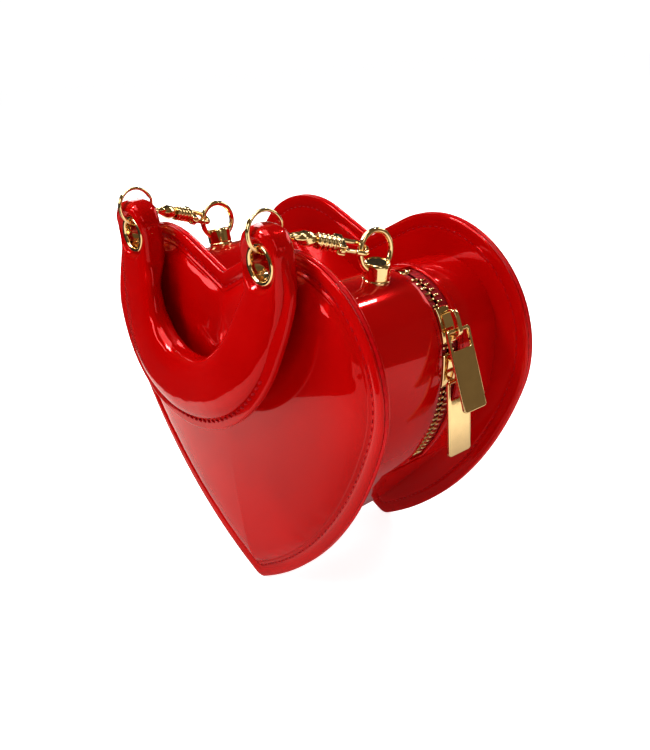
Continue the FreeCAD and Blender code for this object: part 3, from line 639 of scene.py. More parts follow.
def panel_backing(side, rim_y, sign):
    """Leather on the inner side of a panel, sewn through near its rounded edge."""
    inner_y = rim_y + sign * RIM
    profile = [
        (0.5, -BACKING), (0.08, -0.95), (0.0, -0.6), (0.08, -0.25), (0.4, -0.02), (2.4, 0.0), (4.6, 0.0),
        (5.5, -0.12), (6.1, -0.3), (6.7, -0.12), (7.6, 0.0), (18, 0.0), (DEEPEST_INSET, 0.0),
    ]
    grid = heart_grid([inset for inset, _ in profile])
    levels = [height for _, height in profile] + [0.0] * (len(grid) - len(profile))
    top = [[(x, inner_y + sign * level, z) for x, z in ring] for ring, level in zip(grid, levels)]
    under = [
        [(x, inner_y - sign * BACKING, z) for x, z in ring] for ring in heart_grid([3, 12, DEEPEST_INSET])
    ]
    made = make_object(f"{side}_inner_leather", *skin(list(reversed(under)) + top), LEATHER)
    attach(made, "bag")
    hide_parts(f"{side}_panel_backing")


def resampled(points, pitch, closed):
    """Points at an even pitch along a path, with the tangents there."""
    path = [Vector(point) for point in points]
    if closed:
        path.append(path[0])
    lengths = [0.0]
    for before, after in zip(path, path[1:]):
        lengths.append(lengths[-1] + (after - before).length)
    count = max(2, round(lengths[-1] / pitch))
    found = []
    index = 0
    for k in range(count):
        wanted = lengths[-1] * (k + 0.5) / count
        while lengths[index + 1] < wanted:
            index += 1
        step = path[index + 1] - path[index]
        share = (wanted - lengths[index]) / (lengths[index + 1] - lengths[index])
        found.append((path[index] + step * share, step.normalized(), index))
    return found


STITCH_SIDES = 8
STITCH_SHARE = 0.8


def stitch_row(
    name, points, normals, body, closed=False, pitch=STITCH_PITCH, radius=0.36, lift=0.06, slant=0.12
):
    """A row of sewn stitches, each dipping into its two needle holes, with a near-black plug in each hole
    as painted shade.
    """
    stitches = []
    holes = []
    length = pitch * STITCH_SHARE
    for spot, along, index in resampled(points, pitch, closed):
        up = Vector(normals[index % len(normals)]).normalized()
        across = along.cross(up).normalized()
        lean = (along + across * slant).normalized()
        path = []
        radii = []
        for u in (-1, -0.82, -0.45, 0, 0.45, 0.82, 1):
            dip = radius * 1.5 * abs(u) ** 2.5
            path.append(tuple(spot + lean * (u * length / 2) + up * (lift - dip)))
            radii.append(radius * (1 - 0.45 * abs(u) ** 3))
        stitches.append(tube(path, radii, STITCH_SIDES))
        # A near-black plug sunk in each needle hole: painted shade.
        hole = spot + along * (pitch / 2)
        bottom = tuple(hole - up * radius * 1.6)
        top = tuple(hole - up * radius * 0.25)
        holes.append(tube([bottom, top], radius * 1.15, STITCH_SIDES))
    thread_part = merged(stitches)
    hole_shade_part = merged(holes)
    made = make_object(name, *merged([thread_part, hole_shade_part]), THREAD)
    made.data.materials.append(NEEDLE_HOLE_SHADE)
    for polygon in made.data.polygons[len(thread_part[1]):]:
        polygon.material_index = 1
    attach(made, body)
    return made


def panel_stitching(side, rim_y, sign):
    ring = heart(STITCH_INSET)
    outer = [(x, rim_y + sign * 0.42, z) for x, z in ring]
    stitch_row(f"{side}_panel_stitches", outer, [(0, -sign, 0)] * len(ring), "bag", closed=True)
    inner_y = rim_y + sign * RIM
    inner = [(x, inner_y - sign * 0.3, z) for x, z in ring]
    stitch_row(f"{side}_inner_stitches", inner, [(0, sign, 0)] * len(ring), "bag", closed=True, radius=0.3)


for panel_side, panel_y, panel_sign in (("front", FRONT_RIM, 1), ("back", BACK_RIM, -1)):
    panel_cover(panel_side, panel_y, panel_sign)
    panel_foam(panel_side, panel_y, panel_sign)
    panel_backing(panel_side, panel_y, panel_sign)
    panel_stitching(panel_side, panel_y, panel_sign)

# Side wall


def right_wall(top=lobe_start, bottom=-WALL_SWEEP):
    """Points of the wall's path round the right lobe and down the right side."""
    points = [polar(WALL_LOBE_CENTER, WALL_LOBE, a) for a in spread(top, 0, 48)]
    points += [polar(WALL_SIDE_CENTER, WALL_SIDE, a) for a in spread(0, bottom, 40)[1:]]
    return points


def other_wall():
    """Points of the rest of the path: cleft, left lobe and side, and the point."""
    shoulder = polar(WALL_LOBE_CENTER, WALL_LOBE, lobe_start)
    cleft = (0, shoulder[1] - shoulder[0] * math.tan(cleft_slope))
    flank = polar(WALL_SIDE_CENTER, WALL_SIDE, -WALL_SWEEP)
    point = (0, flank[1] - flank[0] / math.tan(WALL_SWEEP))
    fall = [(shoulder[0] * t, cleft[1] + (shoulder[1] - cleft[1]) * t) for t in spread(1, 0, 12)]
    rise = [(-x, z) for x, z in fall[-2::-1]]
    lobe = [polar(WALL_LOBE_CENTER, WALL_LOBE, a) for a in spread(lobe_start, 0, 48)[1:]]
    side = [polar(WALL_SIDE_CENTER, WALL_SIDE, a) for a in spread(0, -WALL_SWEEP, 40)[1:]]
    left = [(-x, z) for x, z in lobe + side]
    end = [(flank[0] * t, point[1] + (flank[1] - point[1]) * t) for t in spread(0, 1, 24)]
    start = [(-x, z) for x, z in end[:0:-1]]
    return fall + rise + left + start[1:] + end


def outward_normals(points, turn):
    """Mitred normals of a path; turn is 1 where the path runs clockwise round the bag."""
    steps = [Vector(after) - Vector(before) for before, after in zip(points, points[1:])]
    flat = [Vector((-step.y, step.x)).normalized() * turn for step in steps]
    normals = [flat[0]]
    for before, after in zip(flat, flat[1:]):
        normals.append((before + after) / (1 + before.dot(after)))
    normals.append(flat[-1])
    return normals


def band_section(front, back, thickness, bulge, rounds):
    """Closed (y, offset) section of a strip from its front edge to its back edge."""
    edge = thickness / 2
    corner = [edge * share for share in (0, 0.03, 0.13, 0.3, 0.55, 1)]
    places = [front + gap for gap in corner]
    places += spread(front + edge, back - edge, 20)[1:-1]
    places += [back - gap for gap in reversed(corner)]
    outer = []
    inner = []
    for y in places:
        swell = bulge * (1 - (2 * (y - front) / (back - front) - 1) ** 2)
        fall = 0.0
        for gap, rounded in ((y - front, rounds[0]), (back - y, rounds[1])):
            if rounded and gap < edge:
                fall = max(fall, edge - math.sqrt(edge**2 - (edge - gap) ** 2))
        outer.append((y, swell - fall))
        inner.append((y, swell - thickness + fall))
    return outer + inner[::-1]


def wall_band(
    name, points, turn, inset, thickness, front, back, material, bulge=0.0, rounds=(True, True), wavy=0.0
):
    """A strip of leather or cloth that follows the wall's path."""
    section = band_section(front, back, thickness, bulge, rounds)
    rings = []
    normals = outward_normals(points, turn)
    for point, normal in zip(points, normals):
        ring = []
        for y, offset in section:
            ripple = wavy * noise.noise(Vector((point[0], y, point[1])) * 0.035)
            reach = offset - inset + ripple
            ring.append((point[0] + normal.x * reach, y, point[1] + normal.y * reach))
        rings.append(ring)
    made = make_object(name, *skin(rings), material, sharp=50)
    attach(made, "bag")
    return made


WALL_FRONT = FRONT_RIM + RIM
WALL_BACK = BACK_RIM - RIM
STRIP_EDGE = 5
TAPE_EDGE = 0.9
TAPE_REACH = 11
LINING_CLEARANCE = 0.3
ZIP_SEAM = 2.4

right_path = right_wall()
other_path = other_wall()
tape_path = right_wall(ZIP_TOP, ZIP_BOTTOM)


def side_walls():
    main = wall_band(
        "gusset_leather", other_path, -1, 0, WALL, WALL_FRONT, WALL_BACK, LEATHER, 0.5, (0, 0), 0.5
    )
    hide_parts("gusset_main")
    front = wall_band(
        "gusset_front_leather", right_path, 1, 0, WALL, WALL_FRONT, ZIP_Y - STRIP_EDGE, LEATHER,
        0.5, (0, 1), 0.4,
    )
    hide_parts("gusset_front_strip")
    back = wall_band(
        "gusset_back_leather", right_path, 1, 0, WALL, ZIP_Y + STRIP_EDGE, WALL_BACK, LEATHER,
        0.2, (1, 0), 0.3,
    )
    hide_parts("gusset_back_strip")
    for name, start, end in (
        ("zip_top_tab", lobe_start, ZIP_TOP),
        ("zip_bottom_tab", ZIP_BOTTOM, -WALL_SWEEP),
    ):
        center, radius = (WALL_LOBE_CENTER, WALL_LOBE) if start > 0 else (WALL_SIDE_CENTER, WALL_SIDE)
        path = [polar(center, radius, a) for a in spread(start, end, 10)]
        tab = wall_band(
            f"{name}_leather", path, 1, 0, WALL, ZIP_Y - STRIP_EDGE, ZIP_Y + STRIP_EDGE, LEATHER,
            0.1, (1, 1),
        )
        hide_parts(name)


def linings():
    inset = WALL + GAP + LINING_CLEARANCE
    thickness = LINING - LINING_CLEARANCE
    front_edge = ZIP_Y - TAPE_REACH - GAP
    back_edge = ZIP_Y + TAPE_REACH + GAP
    rows = (
        ("gusset_main_lining", other_path, -1, WALL_FRONT, WALL_BACK, "gusset_leather"),
        ("gusset_front_lining", right_path, 1, WALL_FRONT, front_edge, "gusset_front_leather"),
        ("gusset_back_lining", right_path, 1, back_edge, WALL_BACK, "gusset_back_leather"),
    )
    for name, path, turn, front, back, wall in rows:
        made = wall_band(
            f"{name}_cloth", path, turn, inset, thickness, front, back, LINING_CLOTH, 0, (0, 0), 0.1
        )
        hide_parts(name)


LINING_STEPS = 12


def panel_lining(side):
    """Cloth over the inner side of a panel, out to the wall's own lining."""
    inset = WALL + LINING + 2 * GAP
    right = list(zip(right_path, outward_normals(right_path, 1)))
    other = list(zip(other_path, outward_normals(other_path, -1)))
    edge = np.array([Vector(point) - normal * inset for point, normal in right + other[-2:0:-1]])
    front = low(f"{side}_lining").y
    back = high(f"{side}_lining").y
    rings = []
    for y, shares in ((front, spread(0.06, 1, LINING_STEPS)), (back, spread(1, 0.06, LINING_STEPS))):
        for share in shares:
            ring = []
            for x, z in CENTER + (edge - CENTER) * share:
                ripple = 0.1 * noise.noise(Vector((x, 5.0, z)) * 0.05) * (1 - share)
                ring.append((x, y + ripple, z))
            rings.append(ring)
    made = make_object(f"{side}_lining_cloth", *skin(rings), LINING_CLOTH, sharp=50)
    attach(made, "bag")
    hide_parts(f"{side}_lining")


def tapes():
    inset = WALL + GAP
    for side, front, back in (
        ("front", ZIP_Y - TAPE_REACH, ZIP_Y - TAPE_EDGE),
        ("back", ZIP_Y + TAPE_EDGE, ZIP_Y + TAPE_REACH),
    ):
        made = wall_band(f"zip_tape_{side}_cloth", tape_path, 1, inset, TAPE, front, back, TAPE_CLOTH)
        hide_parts(f"zip_tape_{side}")


def zip_stitching():
    normals = [(n.x, 0, n.y) for n in outward_normals(right_path, 1)]
    for side, y in (("front", ZIP_Y - STRIP_EDGE - ZIP_SEAM), ("back", ZIP_Y + STRIP_EDGE + ZIP_SEAM)):
        row = [
            (x + n[0] * 0.12, y, z + n[2] * 0.12) for (x, z), n in zip(right_path, normals)
        ]
        stitch_row(f"zip_{side}_stitches", row, normals, "bag", radius=0.2, pitch=3.0, lift=0.0)


side_walls()
linings()
panel_lining("front")
panel_lining("back")
tapes()
zip_stitching()

# Zip chain, sliders and pull tabs


def chain_frame(place):
    """Placement on the chain's middle line: x along it, y to the back, z outward."""
    center, radius = (WALL_LOBE_CENTER, WALL_LOBE) if place > 0 else (WALL_SIDE_CENTER, WALL_SIDE)
    angle = place / (radius - CHAIN_INSET)
    x, z = polar(center, radius - CHAIN_INSET, angle)
    along = Vector((-math.sin(angle), 0, math.cos(angle)))
    outward = Vector((math.cos(angle), 0, math.sin(angle)))
    return placement((x, ZIP_Y, z), along, outward.cross(along), outward)


def tooth(place, side, length):
    """One tooth: a foot clamped on the tape and a rounded head at the middle line."""
    half = length / 2
    outline = [
        (-half * 0.75, TOOTH_REACH), (half * 0.75, TOOTH_REACH), (half * 0.8, 1.9), (half, 1.3),
        (half, 0.7), (half * 0.6, 0.2), (-half * 0.6, 0.2), (-half, 0.7), (-half, 1.3), (-half * 0.8, 1.9),
    ]
    frame_here = chain_frame(place)
    rings = []
    for height, scale in ((-1.2, 0.7), (-0.9, 1), (0.8, 1), (1.1, 0.86), (1.25, 0.6)):
        ring = []
        for x, y in outline:
            shrunk = TOOTH_MIDDLE + (y - TOOTH_MIDDLE) * scale
            ring.append(tuple(frame_here @ Vector((x * scale, side * shrunk, height))))
        rings.append(ring)
    return skin(rings, fan=False)


CHAIN_TOP = ZIP_TOP * (WALL_LOBE - CHAIN_INSET)
CHAIN_BOTTOM = ZIP_BOTTOM * (WALL_SIDE - CHAIN_INSET)
STOP_LENGTH = 3
TOOTH_LENGTH = 1.15


def zip_chain():
    first = CHAIN_BOTTOM + STOP_LENGTH + TOOTH_PITCH
    count = int((CHAIN_TOP - STOP_LENGTH - TOOTH_PITCH - first) / TOOTH_PITCH)
    for side, sign, shift in (("front", -1, 0), ("back", 1, TOOTH_PITCH / 2)):
        row = [tooth(first + shift + TOOTH_PITCH * k, sign, TOOTH_LENGTH) for k in range(count)]
        made = make_object(f"zip_{side}_tooth_row", *merged(row), GOLD, sharp=40)
        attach(made, "bag")
        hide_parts(f"zip_teeth_{side}")
    ends = (CHAIN_BOTTOM + STOP_LENGTH / 2, CHAIN_TOP - STOP_LENGTH / 2)
    blocks = [tooth(place, sign, STOP_LENGTH) for place in ends for sign in (1, -1)]
    stops = make_object("zip_end_stops", *merged(blocks), GOLD, sharp=40)
    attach(stops, "bag")
    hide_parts("zip_stops")


SLIDER_LENGTH = 15
SLIDER_HALF = 4.7
SLIDER_TAIL = 4.5
BAIL_HALF = 5
BAIL_TOP = 9.0
BAIL_WIDTH = 2.4
BAIL_THICK = 1.0
BAIL_FOOT = 2.2
BAIL_POWER = 2 / 5
POST_SHIFT = 4.5
UPPER_SLIDER = math.radians(19)
LOWER_SLIDER = math.radians(-6.8)
UPPER_TAB_LEAN = math.radians(16)


def rounded_rectangle(half_width, half_height, corner, steps=5):
    points = []
    for cx, cy, start in ((1, 1, 0), (-1, 1, 90), (-1, -1, 180), (1, -1, 270)):
        center = (cx * (half_width - corner), cy * (half_height - corner))
        points += [polar(center, corner, math.radians(a)) for a in spread(start, start + 90, steps)]
    return points


def slider(name, center, wall_radius, angle, head):
    """Slider round the chain with its bail; head is 1 where its wide end points up."""
    radius = wall_radius - CHAIN_INSET

    def bent(along, across, reach):
        x, z = polar(center, radius + reach, angle + along / radius)
        return (x, ZIP_Y + across, z)

    shells = []
    for face in (1, -1):
        rings = []
        for t in spread(-1, 1, 28):
            half = SLIDER_TAIL + (SLIDER_HALF - SLIDER_TAIL) * smooth_step((t * head + 0.55) / 0.8)
            end = min(1.0, (1 - abs(t)) * SLIDER_LENGTH / 2 / 0.7)
            drop = 0.5 * (1 - math.sqrt(1 - (1 - end) ** 2))
            half -= drop
            section = [
                (-half, 0.75), (-half, 1.9), (-half + 0.2, 2.3), (-half + 0.6, 2.52), (-half * 0.4, 2.6),
                (half * 0.4, 2.6), (half - 0.6, 2.52), (half - 0.2, 2.3), (half, 1.9), (half, 0.75),
                (half - 0.6, 0.75), (half - 0.7, 1.5), (-half + 0.7, 1.5), (-half + 0.6, 0.75),
            ]
            along = t * SLIDER_LENGTH / 2
            rings.append([bent(along, w, face * (r - (drop if r > 1.5 else 0))) for w, r in section])
        shells.append(skin(rings, fan=False))
    post_outline = rounded_rectangle(1.2, 0.15, 0.12, 2)
    post = [[bent(head * POST_SHIFT + s, w, r) for s, w in post_outline] for r in (-2, 2)]
    shells.append(skin(post, fan=False))
    strap = []
    top = BAIL_TOP - BAIL_THICK / 2
    path = []
    for a in spread(math.pi, 0, 48):
        s = (BAIL_HALF - BAIL_THICK / 2) * math.copysign(abs(math.cos(a)) ** BAIL_POWER, math.cos(a))
        path.append((s, BAIL_FOOT + (top - BAIL_FOOT) * abs(math.sin(a)) ** BAIL_POWER))
    for k, (s, r) in enumerate(path):
        before = path[max(k - 1, 0)]
        after = path[min(k + 1, len(path) - 1)]
        tangent = Vector((after[0] - before[0], after[1] - before[1])).normalized()
        normal = Vector((-tangent.y, tangent.x))
        strap.append([
            bent(s + normal.x * n, w, r + normal.y * n)
            for w, n in rounded_rectangle(BAIL_WIDTH / 2, BAIL_THICK / 2, 0.3, 3)
        ])
    shells.append(skin(strap, fan=False))
    made = make_object(f"{name}_slider_body", *merged(shells), GOLD, sharp=42)
    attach(made, f"{name}_slider")
    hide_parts(f"{name}_zip_slider")


TAB_WIDTH = 14
TAB_LENGTH = 36
TAB_THICK = 1.4
TAB_BAR = 0.8
TAB_WINDOW = (11.4, 7.5)


def pull_tab(name, hinge, lean):
    """Flat tab with a window at the top, where it hangs on the slider's bail."""
    up = Vector((-math.sin(lean), 0, math.cos(lean)))
    back = Vector((0, 1, 0))
    place = placement(hinge, back, up, back.cross(up))
    half = TAB_THICK / 2
    shift = TAB_BAR - TAB_LENGTH / 2
    outline = [(x, y + shift) for x, y in rounded_rectangle(TAB_WIDTH / 2, TAB_LENGTH / 2, 1.8, 6)]
    window_shift = -TAB_BAR - TAB_WINDOW[1] / 2
    window_outline = rounded_rectangle(TAB_WINDOW[0] / 2, TAB_WINDOW[1] / 2, 0.9, 6)
    window = [(x, y + window_shift) for x, y in window_outline]
    rings = []
    for edge, height in ((outline, -half), (outline, half), (window, half), (window, -half)):
        rings.append([tuple(place @ Vector((x, y, height))) for x, y in edge])
    made = make_object(f"{name}_tab_plate", *skin(rings, loop=True), GOLD)
    soften(made, 0.32, 3, 50)
    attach(made, f"{name}_tab")
    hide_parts(f"{name}_pull_tab")


def tab_hinge(name):
    joint = next(item for item in frame["joints"] if item["name"] == f"{name}_tab_swing")
    return Vector(joint["pos_m"]) / MM


zip_chain()
slider("upper", WALL_LOBE_CENTER, WALL_LOBE, UPPER_SLIDER, -1)
slider("lower", WALL_SIDE_CENTER, WALL_SIDE, LOWER_SLIDER, 1)
pull_tab("upper", tab_hinge("upper"), UPPER_TAB_LEAN)
pull_tab("lower", tab_hinge("lower"), 0)

# Studs, rings and snap hooks

SIDES = {"left": -1, "right": 1}
STUD_RING = 8.5
STUD_WIRE = 1.25
STUD_RADIUS = 5.75
STUD_LEAN = math.radians(12)
HANDLE_RING = 8
ACROSS = Vector((1, 0, 0))


def turned_about(origin, axis):
    """Placement whose x axis is a given direction."""
    first = Vector(axis).normalized()
    second = first.orthogonal().normalized()
    return placement(origin, first, second, first.cross(second))


def stud(side, sign):
    ring_center = middle(f"{side}_stud_ring")
    axis = (sign * math.sin(STUD_LEAN), 0, math.cos(STUD_LEAN))
    lobe = (sign * WALL_LOBE_CENTER[0], ring_center.y, WALL_LOBE_CENTER[1])
    place = turned_about(lobe, axis)
    profile = [
        (28.9, 5.2), (29.4, STUD_RADIUS), (30.9, STUD_RADIUS), (31.1, 5.55), (31.35, 5.45), (31.6, 5.55),
        (31.8, STUD_RADIUS), (36.9, STUD_RADIUS), (37.5, 5.68), (38.0, 5.45), (38.35, 5.1), (38.5, 4.75),
        (38.45, 4.55), (38.2, 4.45), (38.2, 3), (38.2, 1),
    ]
    made = make_object(f"{side}_stud_body", *lathe(profile, place, 72), GOLD, sharp=40)
    groove = make_object("groove", *torus(ring_center, ACROSS, STUD_RING, STUD_WIRE + 0.08), GOLD)
    cut_out(made, [groove])
    made.data.set_sharp_from_angle(angle=math.radians(40))
    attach(made, "bag")
    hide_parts(f"{side}_stud_post")
    ring = make_object(f"{side}_strap_ring", *torus(ring_center, ACROSS, STUD_RING, STUD_WIRE, 128), GOLD)
    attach(ring, f"{side}_ring_on_stud")
    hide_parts(f"{side}_stud_ring")


def split_ring(side):
    """Ring of two turns pressed side by side, with the step where the wire crosses over."""
    center = middle(f"{side}_handle_ring")
    wire = 0.65
    pitch = 1.1
    path = []
    radii = []
    steps = 220
    for k in range(steps + 1):
        turn = 0.35 + k / steps * (4 * math.pi - 0.5)
        cross = smooth_step((turn - 2 * math.pi + 0.1) / 0.5)
        path.append((
            center.x - pitch / 2 + pitch * cross,
            center.y + HANDLE_RING * math.cos(turn),
            center.z + HANDLE_RING * math.sin(turn),
        ))
        edge = min(k, steps - k)
        radii.append(wire * (0.6 + 0.4 * min(1, edge / 3)))
    made = make_object(f"{side}_split_ring", *tube(path, radii, 16), GOLD, sharp=60)
    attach(made, f"{side}_ring_on_handle")
    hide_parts(f"{side}_handle_ring")


HOOK_WIRE = 1.1
HOOK_HALF = 3.6
HOOK_OPENING = 8
BOWL = 0.95
HOOK_TIP = 2.4
SHANK_STOPS = (5, 3)
SHOULDER = 3.5
SHOULDER_HALF = 2.2
SLOT_FLOOR = 0.15
SLOT_CLEARANCE = 0.3
CHEEK_OVERLAP = 1
CHEEK_ROUND = 0.4
BARREL_START = HOOK_OPENING + SHOULDER / 2
BARREL_LENGTH = 10.5
BARREL_RADIUS = 3.4
BARREL_RIBS = 5
RIB_STEPS = 8
RIB_HALF = 0.25
GATE_HALF = 0.9
GATE_GAP = 0.3
GATE_HEEL = 2
GATE_ROUND = 0.3
PIN = (HOOK_OPENING + GATE_HALF, HOOK_HALF)
CLASP_ROLL = math.radians(-30)
EYE_RADIUS = 2.8
EYE_WIRE = 0.8
NECK_RADIUS = 2.1
NECK_GAP = 0.4
NECK_TAPER = 1.25
BEAD_SHARE = 0.62
BEAD_RISE = 1.0
STEM_RADIUS = 1.45
STEM_HEAD_RADIUS = 2.2
STEM_HEAD = (4.2, 2.4)


def clasp_place(side):
    """Placement on the stud ring's wire: x along the clasp, y across the hook; and its length."""
    ring = middle(f"{side}_stud_ring")
    hang = middle(f"{side}_handle_ring")
    spoke = hang - ring
    spoke.x = 0
    spoke.normalize()
    start = ring + spoke * STUD_RING
    end = hang - spoke * HANDLE_RING
    along = (end - start).normalized()
    lifted = spoke.cross(ACROSS)
    level = lifted.cross(along)
    across = level * math.cos(CLASP_ROLL) + lifted * math.sin(CLASP_ROLL)
    return placement(start, along, across, along.cross(across)), (end - start).length


def hook(side, place):
    arc_points = [polar((BOWL, 0), HOOK_HALF, math.radians(a)) for a in spread(270, 90, 32)]
    flat = [(x, -HOOK_HALF) for x in (HOOK_OPENING + HOOK_WIRE, *SHANK_STOPS)] + arc_points
    flat += [(BOWL + HOOK_TIP * t, HOOK_HALF) for t in (0.4, 0.8, 0.92, 1.0)]
    path = [tuple(place @ Vector((x, y, 0))) for x, y in flat]
    radii = [HOOK_WIRE] * (len(flat) - 2) + [HOOK_WIRE * 0.85, HOOK_WIRE * 0.5]
    made = make_object(f"{side}_hook_body", *tube(path, radii, 20), GOLD)
    side_reach = HOOK_HALF + HOOK_WIRE
    slot_half = GATE_HALF + SLOT_CLEARANCE
    cheeks = (
        (-side_reach, SLOT_FLOOR, -SHOULDER_HALF, SHOULDER_HALF),
        (SLOT_FLOOR - CHEEK_OVERLAP, side_reach, slot_half, SHOULDER_HALF),
        (SLOT_FLOOR - CHEEK_OVERLAP, side_reach, -SHOULDER_HALF, -slot_half),
    )
    pieces = []
    for start_y, end_y, start_z, end_z in cheeks:
        far = HOOK_OPENING + SHOULDER
        corners = [(HOOK_OPENING, start_y), (far, start_y), (far, end_y), (HOOK_OPENING, end_y)]
        cheek = make_object("cheek", *prism(corners, start_z, end_z, place), GOLD)
        pieces.append(soften(cheek, CHEEK_ROUND))
    profile = []
    for t in spread(0, 1, BARREL_RIBS * RIB_STEPS):
        level = BARREL_RADIUS - RIB_HALF - RIB_HALF * math.cos(2 * math.pi * BARREL_RIBS * t)
        profile.append((BARREL_START + GAP + t * (BARREL_LENGTH - 2 * GAP), level))
    pieces.append(make_object("barrel", *lathe(profile, place, 48), GOLD))
    joined(made, pieces)
    smooth(made, 38)
    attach(made, f"{side}_clasp")
    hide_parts(f"{side}_clasp_hook")


def gate(side, place):
    outer = HOOK_HALF + HOOK_WIRE
    tip = BOWL + HOOK_TIP + GATE_GAP
    heel = PIN[0] + GATE_HEEL
    outline = [
        (tip, HOOK_HALF - GATE_HALF), (heel, HOOK_HALF - GATE_HALF), (heel, outer + GATE_HALF),
        (PIN[0], outer + GATE_HALF), (PIN[0] - GATE_HALF, outer), (tip, HOOK_HALF + GATE_HALF),
    ]
    made = make_object(f"{side}_gate_lever", *prism(outline, -GATE_HALF, GATE_HALF, place), GOLD)
    soften(made, GATE_ROUND)
    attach(made, f"{side}_gate")
    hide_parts(f"{side}_clasp_gate")


def swivel_eye(side, place, length):
    end = BARREL_START + BARREL_LENGTH
    neck_end = length - EYE_RADIUS + EYE_WIRE / 2
    neck_start = end + NECK_GAP
    run = neck_end - neck_start
    head_start, head_end = (end - depth for depth in STEM_HEAD)
    profile = [
        (head_start, 1.0), (head_start, STEM_HEAD_RADIUS), (head_end, STEM_HEAD_RADIUS),
        (head_end, STEM_RADIUS), (neck_start, STEM_RADIUS),
    ]
    for t in spread(0, 1, 24):
        if t < BEAD_SHARE:
            bead = NECK_RADIUS + BEAD_RISE * math.sin(math.pi * t / BEAD_SHARE)
        else:
            bead = NECK_RADIUS - NECK_TAPER * smooth_step((t - BEAD_SHARE) / (1 - BEAD_SHARE))
        profile.append((neck_start + run * t, bead))
    profile.append((neck_end + 0.1, 0.3))
    made = make_object(
        f"{side}_eye_neck", *lathe(profile, place, 64, flutes=7, depth=0.045, twist=1.1), GOLD, sharp=50
    )
    loop_center = place @ Vector((length, 0, 0))
    normal = place.to_3x3() @ Vector((0, 0, 1))
    loop = make_object("loop", *torus(loop_center, normal, EYE_RADIUS, EYE_WIRE, 64, 20), GOLD)
    joined(made, [loop])
    smooth(made, 50)
    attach(made, f"{side}_eye")
    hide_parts(f"{side}_clasp_swivel_eye")


for hardware_side, hardware_sign in SIDES.items():
    stud(hardware_side, hardware_sign)
    split_ring(hardware_side)
    clasp, clasp_length = clasp_place(hardware_side)
    hook(hardware_side, clasp)
    gate(hardware_side, clasp)
    swivel_eye(hardware_side, clasp, clasp_length)

# Handle: a padded roll with a stitched edge and two flat ends with eyelets

HANG = middle("right_handle_ring").z
HALF_SPAN = middle("right_handle_ring").x
END_Y = middle("right_handle_ring").y
ROLL_Y = middle("handle_core").y
BEND_DROP = 25.4
BEND_Z = HANG - BEND_DROP
ROLL_MIDDLE = 46
ROLL_HALF = 12
ROLL_DEEP = 7.5
BEND_END = math.radians(-18)
EYELET_Z = middle("right_handle_eyelet").z
EYELET_RIM = 8.7
EYELET_BORE = 7
FLAT_START = EYELET_Z - EYELET_RIM
END_RADIUS = 12.5
END_DEEP = 3.5
END_CENTER = HANG + END_DEEP - END_RADIUS
FLANGE_WIDTH = 9
FLANGE_OUTER = ROLL_MIDDLE + ROLL_HALF + FLANGE_WIDTH
FLANGE_HALF = 1.7
FLANGE_TUCK = 3.4
FLANGE_FORWARD = 1.2
SEAM_INSET = 4.2
STITCH_TOP = 22
ROLL_FRONT = ROLL_Y - ROLL_DEEP
ROLL_BACK = ROLL_Y + ROLL_DEEP
END_THICK = 6.4
END_ROUND = 4.6
FRONT_FALL_START = BEND_Z - ROLL_MIDDLE
FRONT_FALL_END = FLAT_START + 4


def front_at(z):
    """Front face of the handle, leaning back from the bottom of the bend up to the ends."""
    share = smooth_step((z - FRONT_FALL_START) / (FRONT_FALL_END - FRONT_FALL_START))
    return ROLL_FRONT + (END_Y - END_THICK - ROLL_FRONT) * share


def handle_stations():
    """Right half of the handle, bottom to top: centre, outward way, half width, faces, share of bend."""
    stations = []
    for a in spread(-math.pi / 2, BEND_END, 48):
        x, z = polar((0, BEND_Z), ROLL_MIDDLE, a)
        stations.append(((x, z), (math.cos(a), math.sin(a)), ROLL_HALF, (front_at(z), ROLL_BACK), 1.0))
    foot = Vector(polar((0, BEND_Z), ROLL_MIDDLE, BEND_END))
    flat = Vector((HALF_SPAN, FLAT_START))
    pull = (flat - foot).length
    foot_pull = Vector((-math.sin(BEND_END), math.cos(BEND_END))) * pull
    flat_pull = Vector((0, 1)) * pull
    for t in spread(0, 1, 24)[1:]:
        spot = (
            foot * (2 * t**3 - 3 * t**2 + 1) + foot_pull * (t**3 - 2 * t**2 + t)
            + flat * (3 * t**2 - 2 * t**3) + flat_pull * (t**3 - t**2)
        )
        ease = smooth_step(t)
        turn = BEND_END * (1 - ease)
        wide = ROLL_HALF + (END_RADIUS - ROLL_HALF) * ease
        faces = (front_at(spot.y), ROLL_BACK + (END_Y + END_THICK - ROLL_BACK) * ease)
        stations.append(((spot.x, spot.y), (math.cos(turn), math.sin(turn)), wide, faces, 1 - ease))
    for z in spread(FLAT_START, END_CENTER, 14)[1:]:
        stations.append(((HALF_SPAN, z), (1, 0), END_RADIUS, (front_at(z), END_Y + END_THICK), 0.0))
    for a in spread(0, math.pi / 2, 24)[1:]:
        rise = END_RADIUS * math.sin(a) * 0.999
        past = max(0.0, rise - END_RADIUS + END_ROUND) / END_ROUND
        deep = END_THICK * math.sqrt(1 - past**2)
        wide = math.sqrt(END_RADIUS**2 - rise**2)
        stations.append(((HALF_SPAN, END_CENTER + rise), (1, 0), wide, (END_Y - deep, END_Y + deep), 0.0))
    return stations


SKEW_TOP = EYELET_Z - EYELET_RIM
SKEW_RUN = SKEW_TOP - BEND_Z + FLANGE_OUTER
SKEW = Vector((-7, -3, 0))


def hang_skew(made):
    """Let the lower part of a handle piece hang a little to one side and away from the panel."""
    for vertex in made.data.vertices:
        share = (SKEW_TOP - vertex.co.z / MM) / SKEW_RUN
        vertex.co += SKEW * MM * min(max(share, 0.0), 1.0)


ROLL_POINTS = 96
DISH_RUN = 2.6
EDGE_SLOPE = 4.2
CUT_REACH = 8
SWELL_SLOW = 0.3
SWELL_FINE = 0.22
SWELL_FOLDS = 0.26


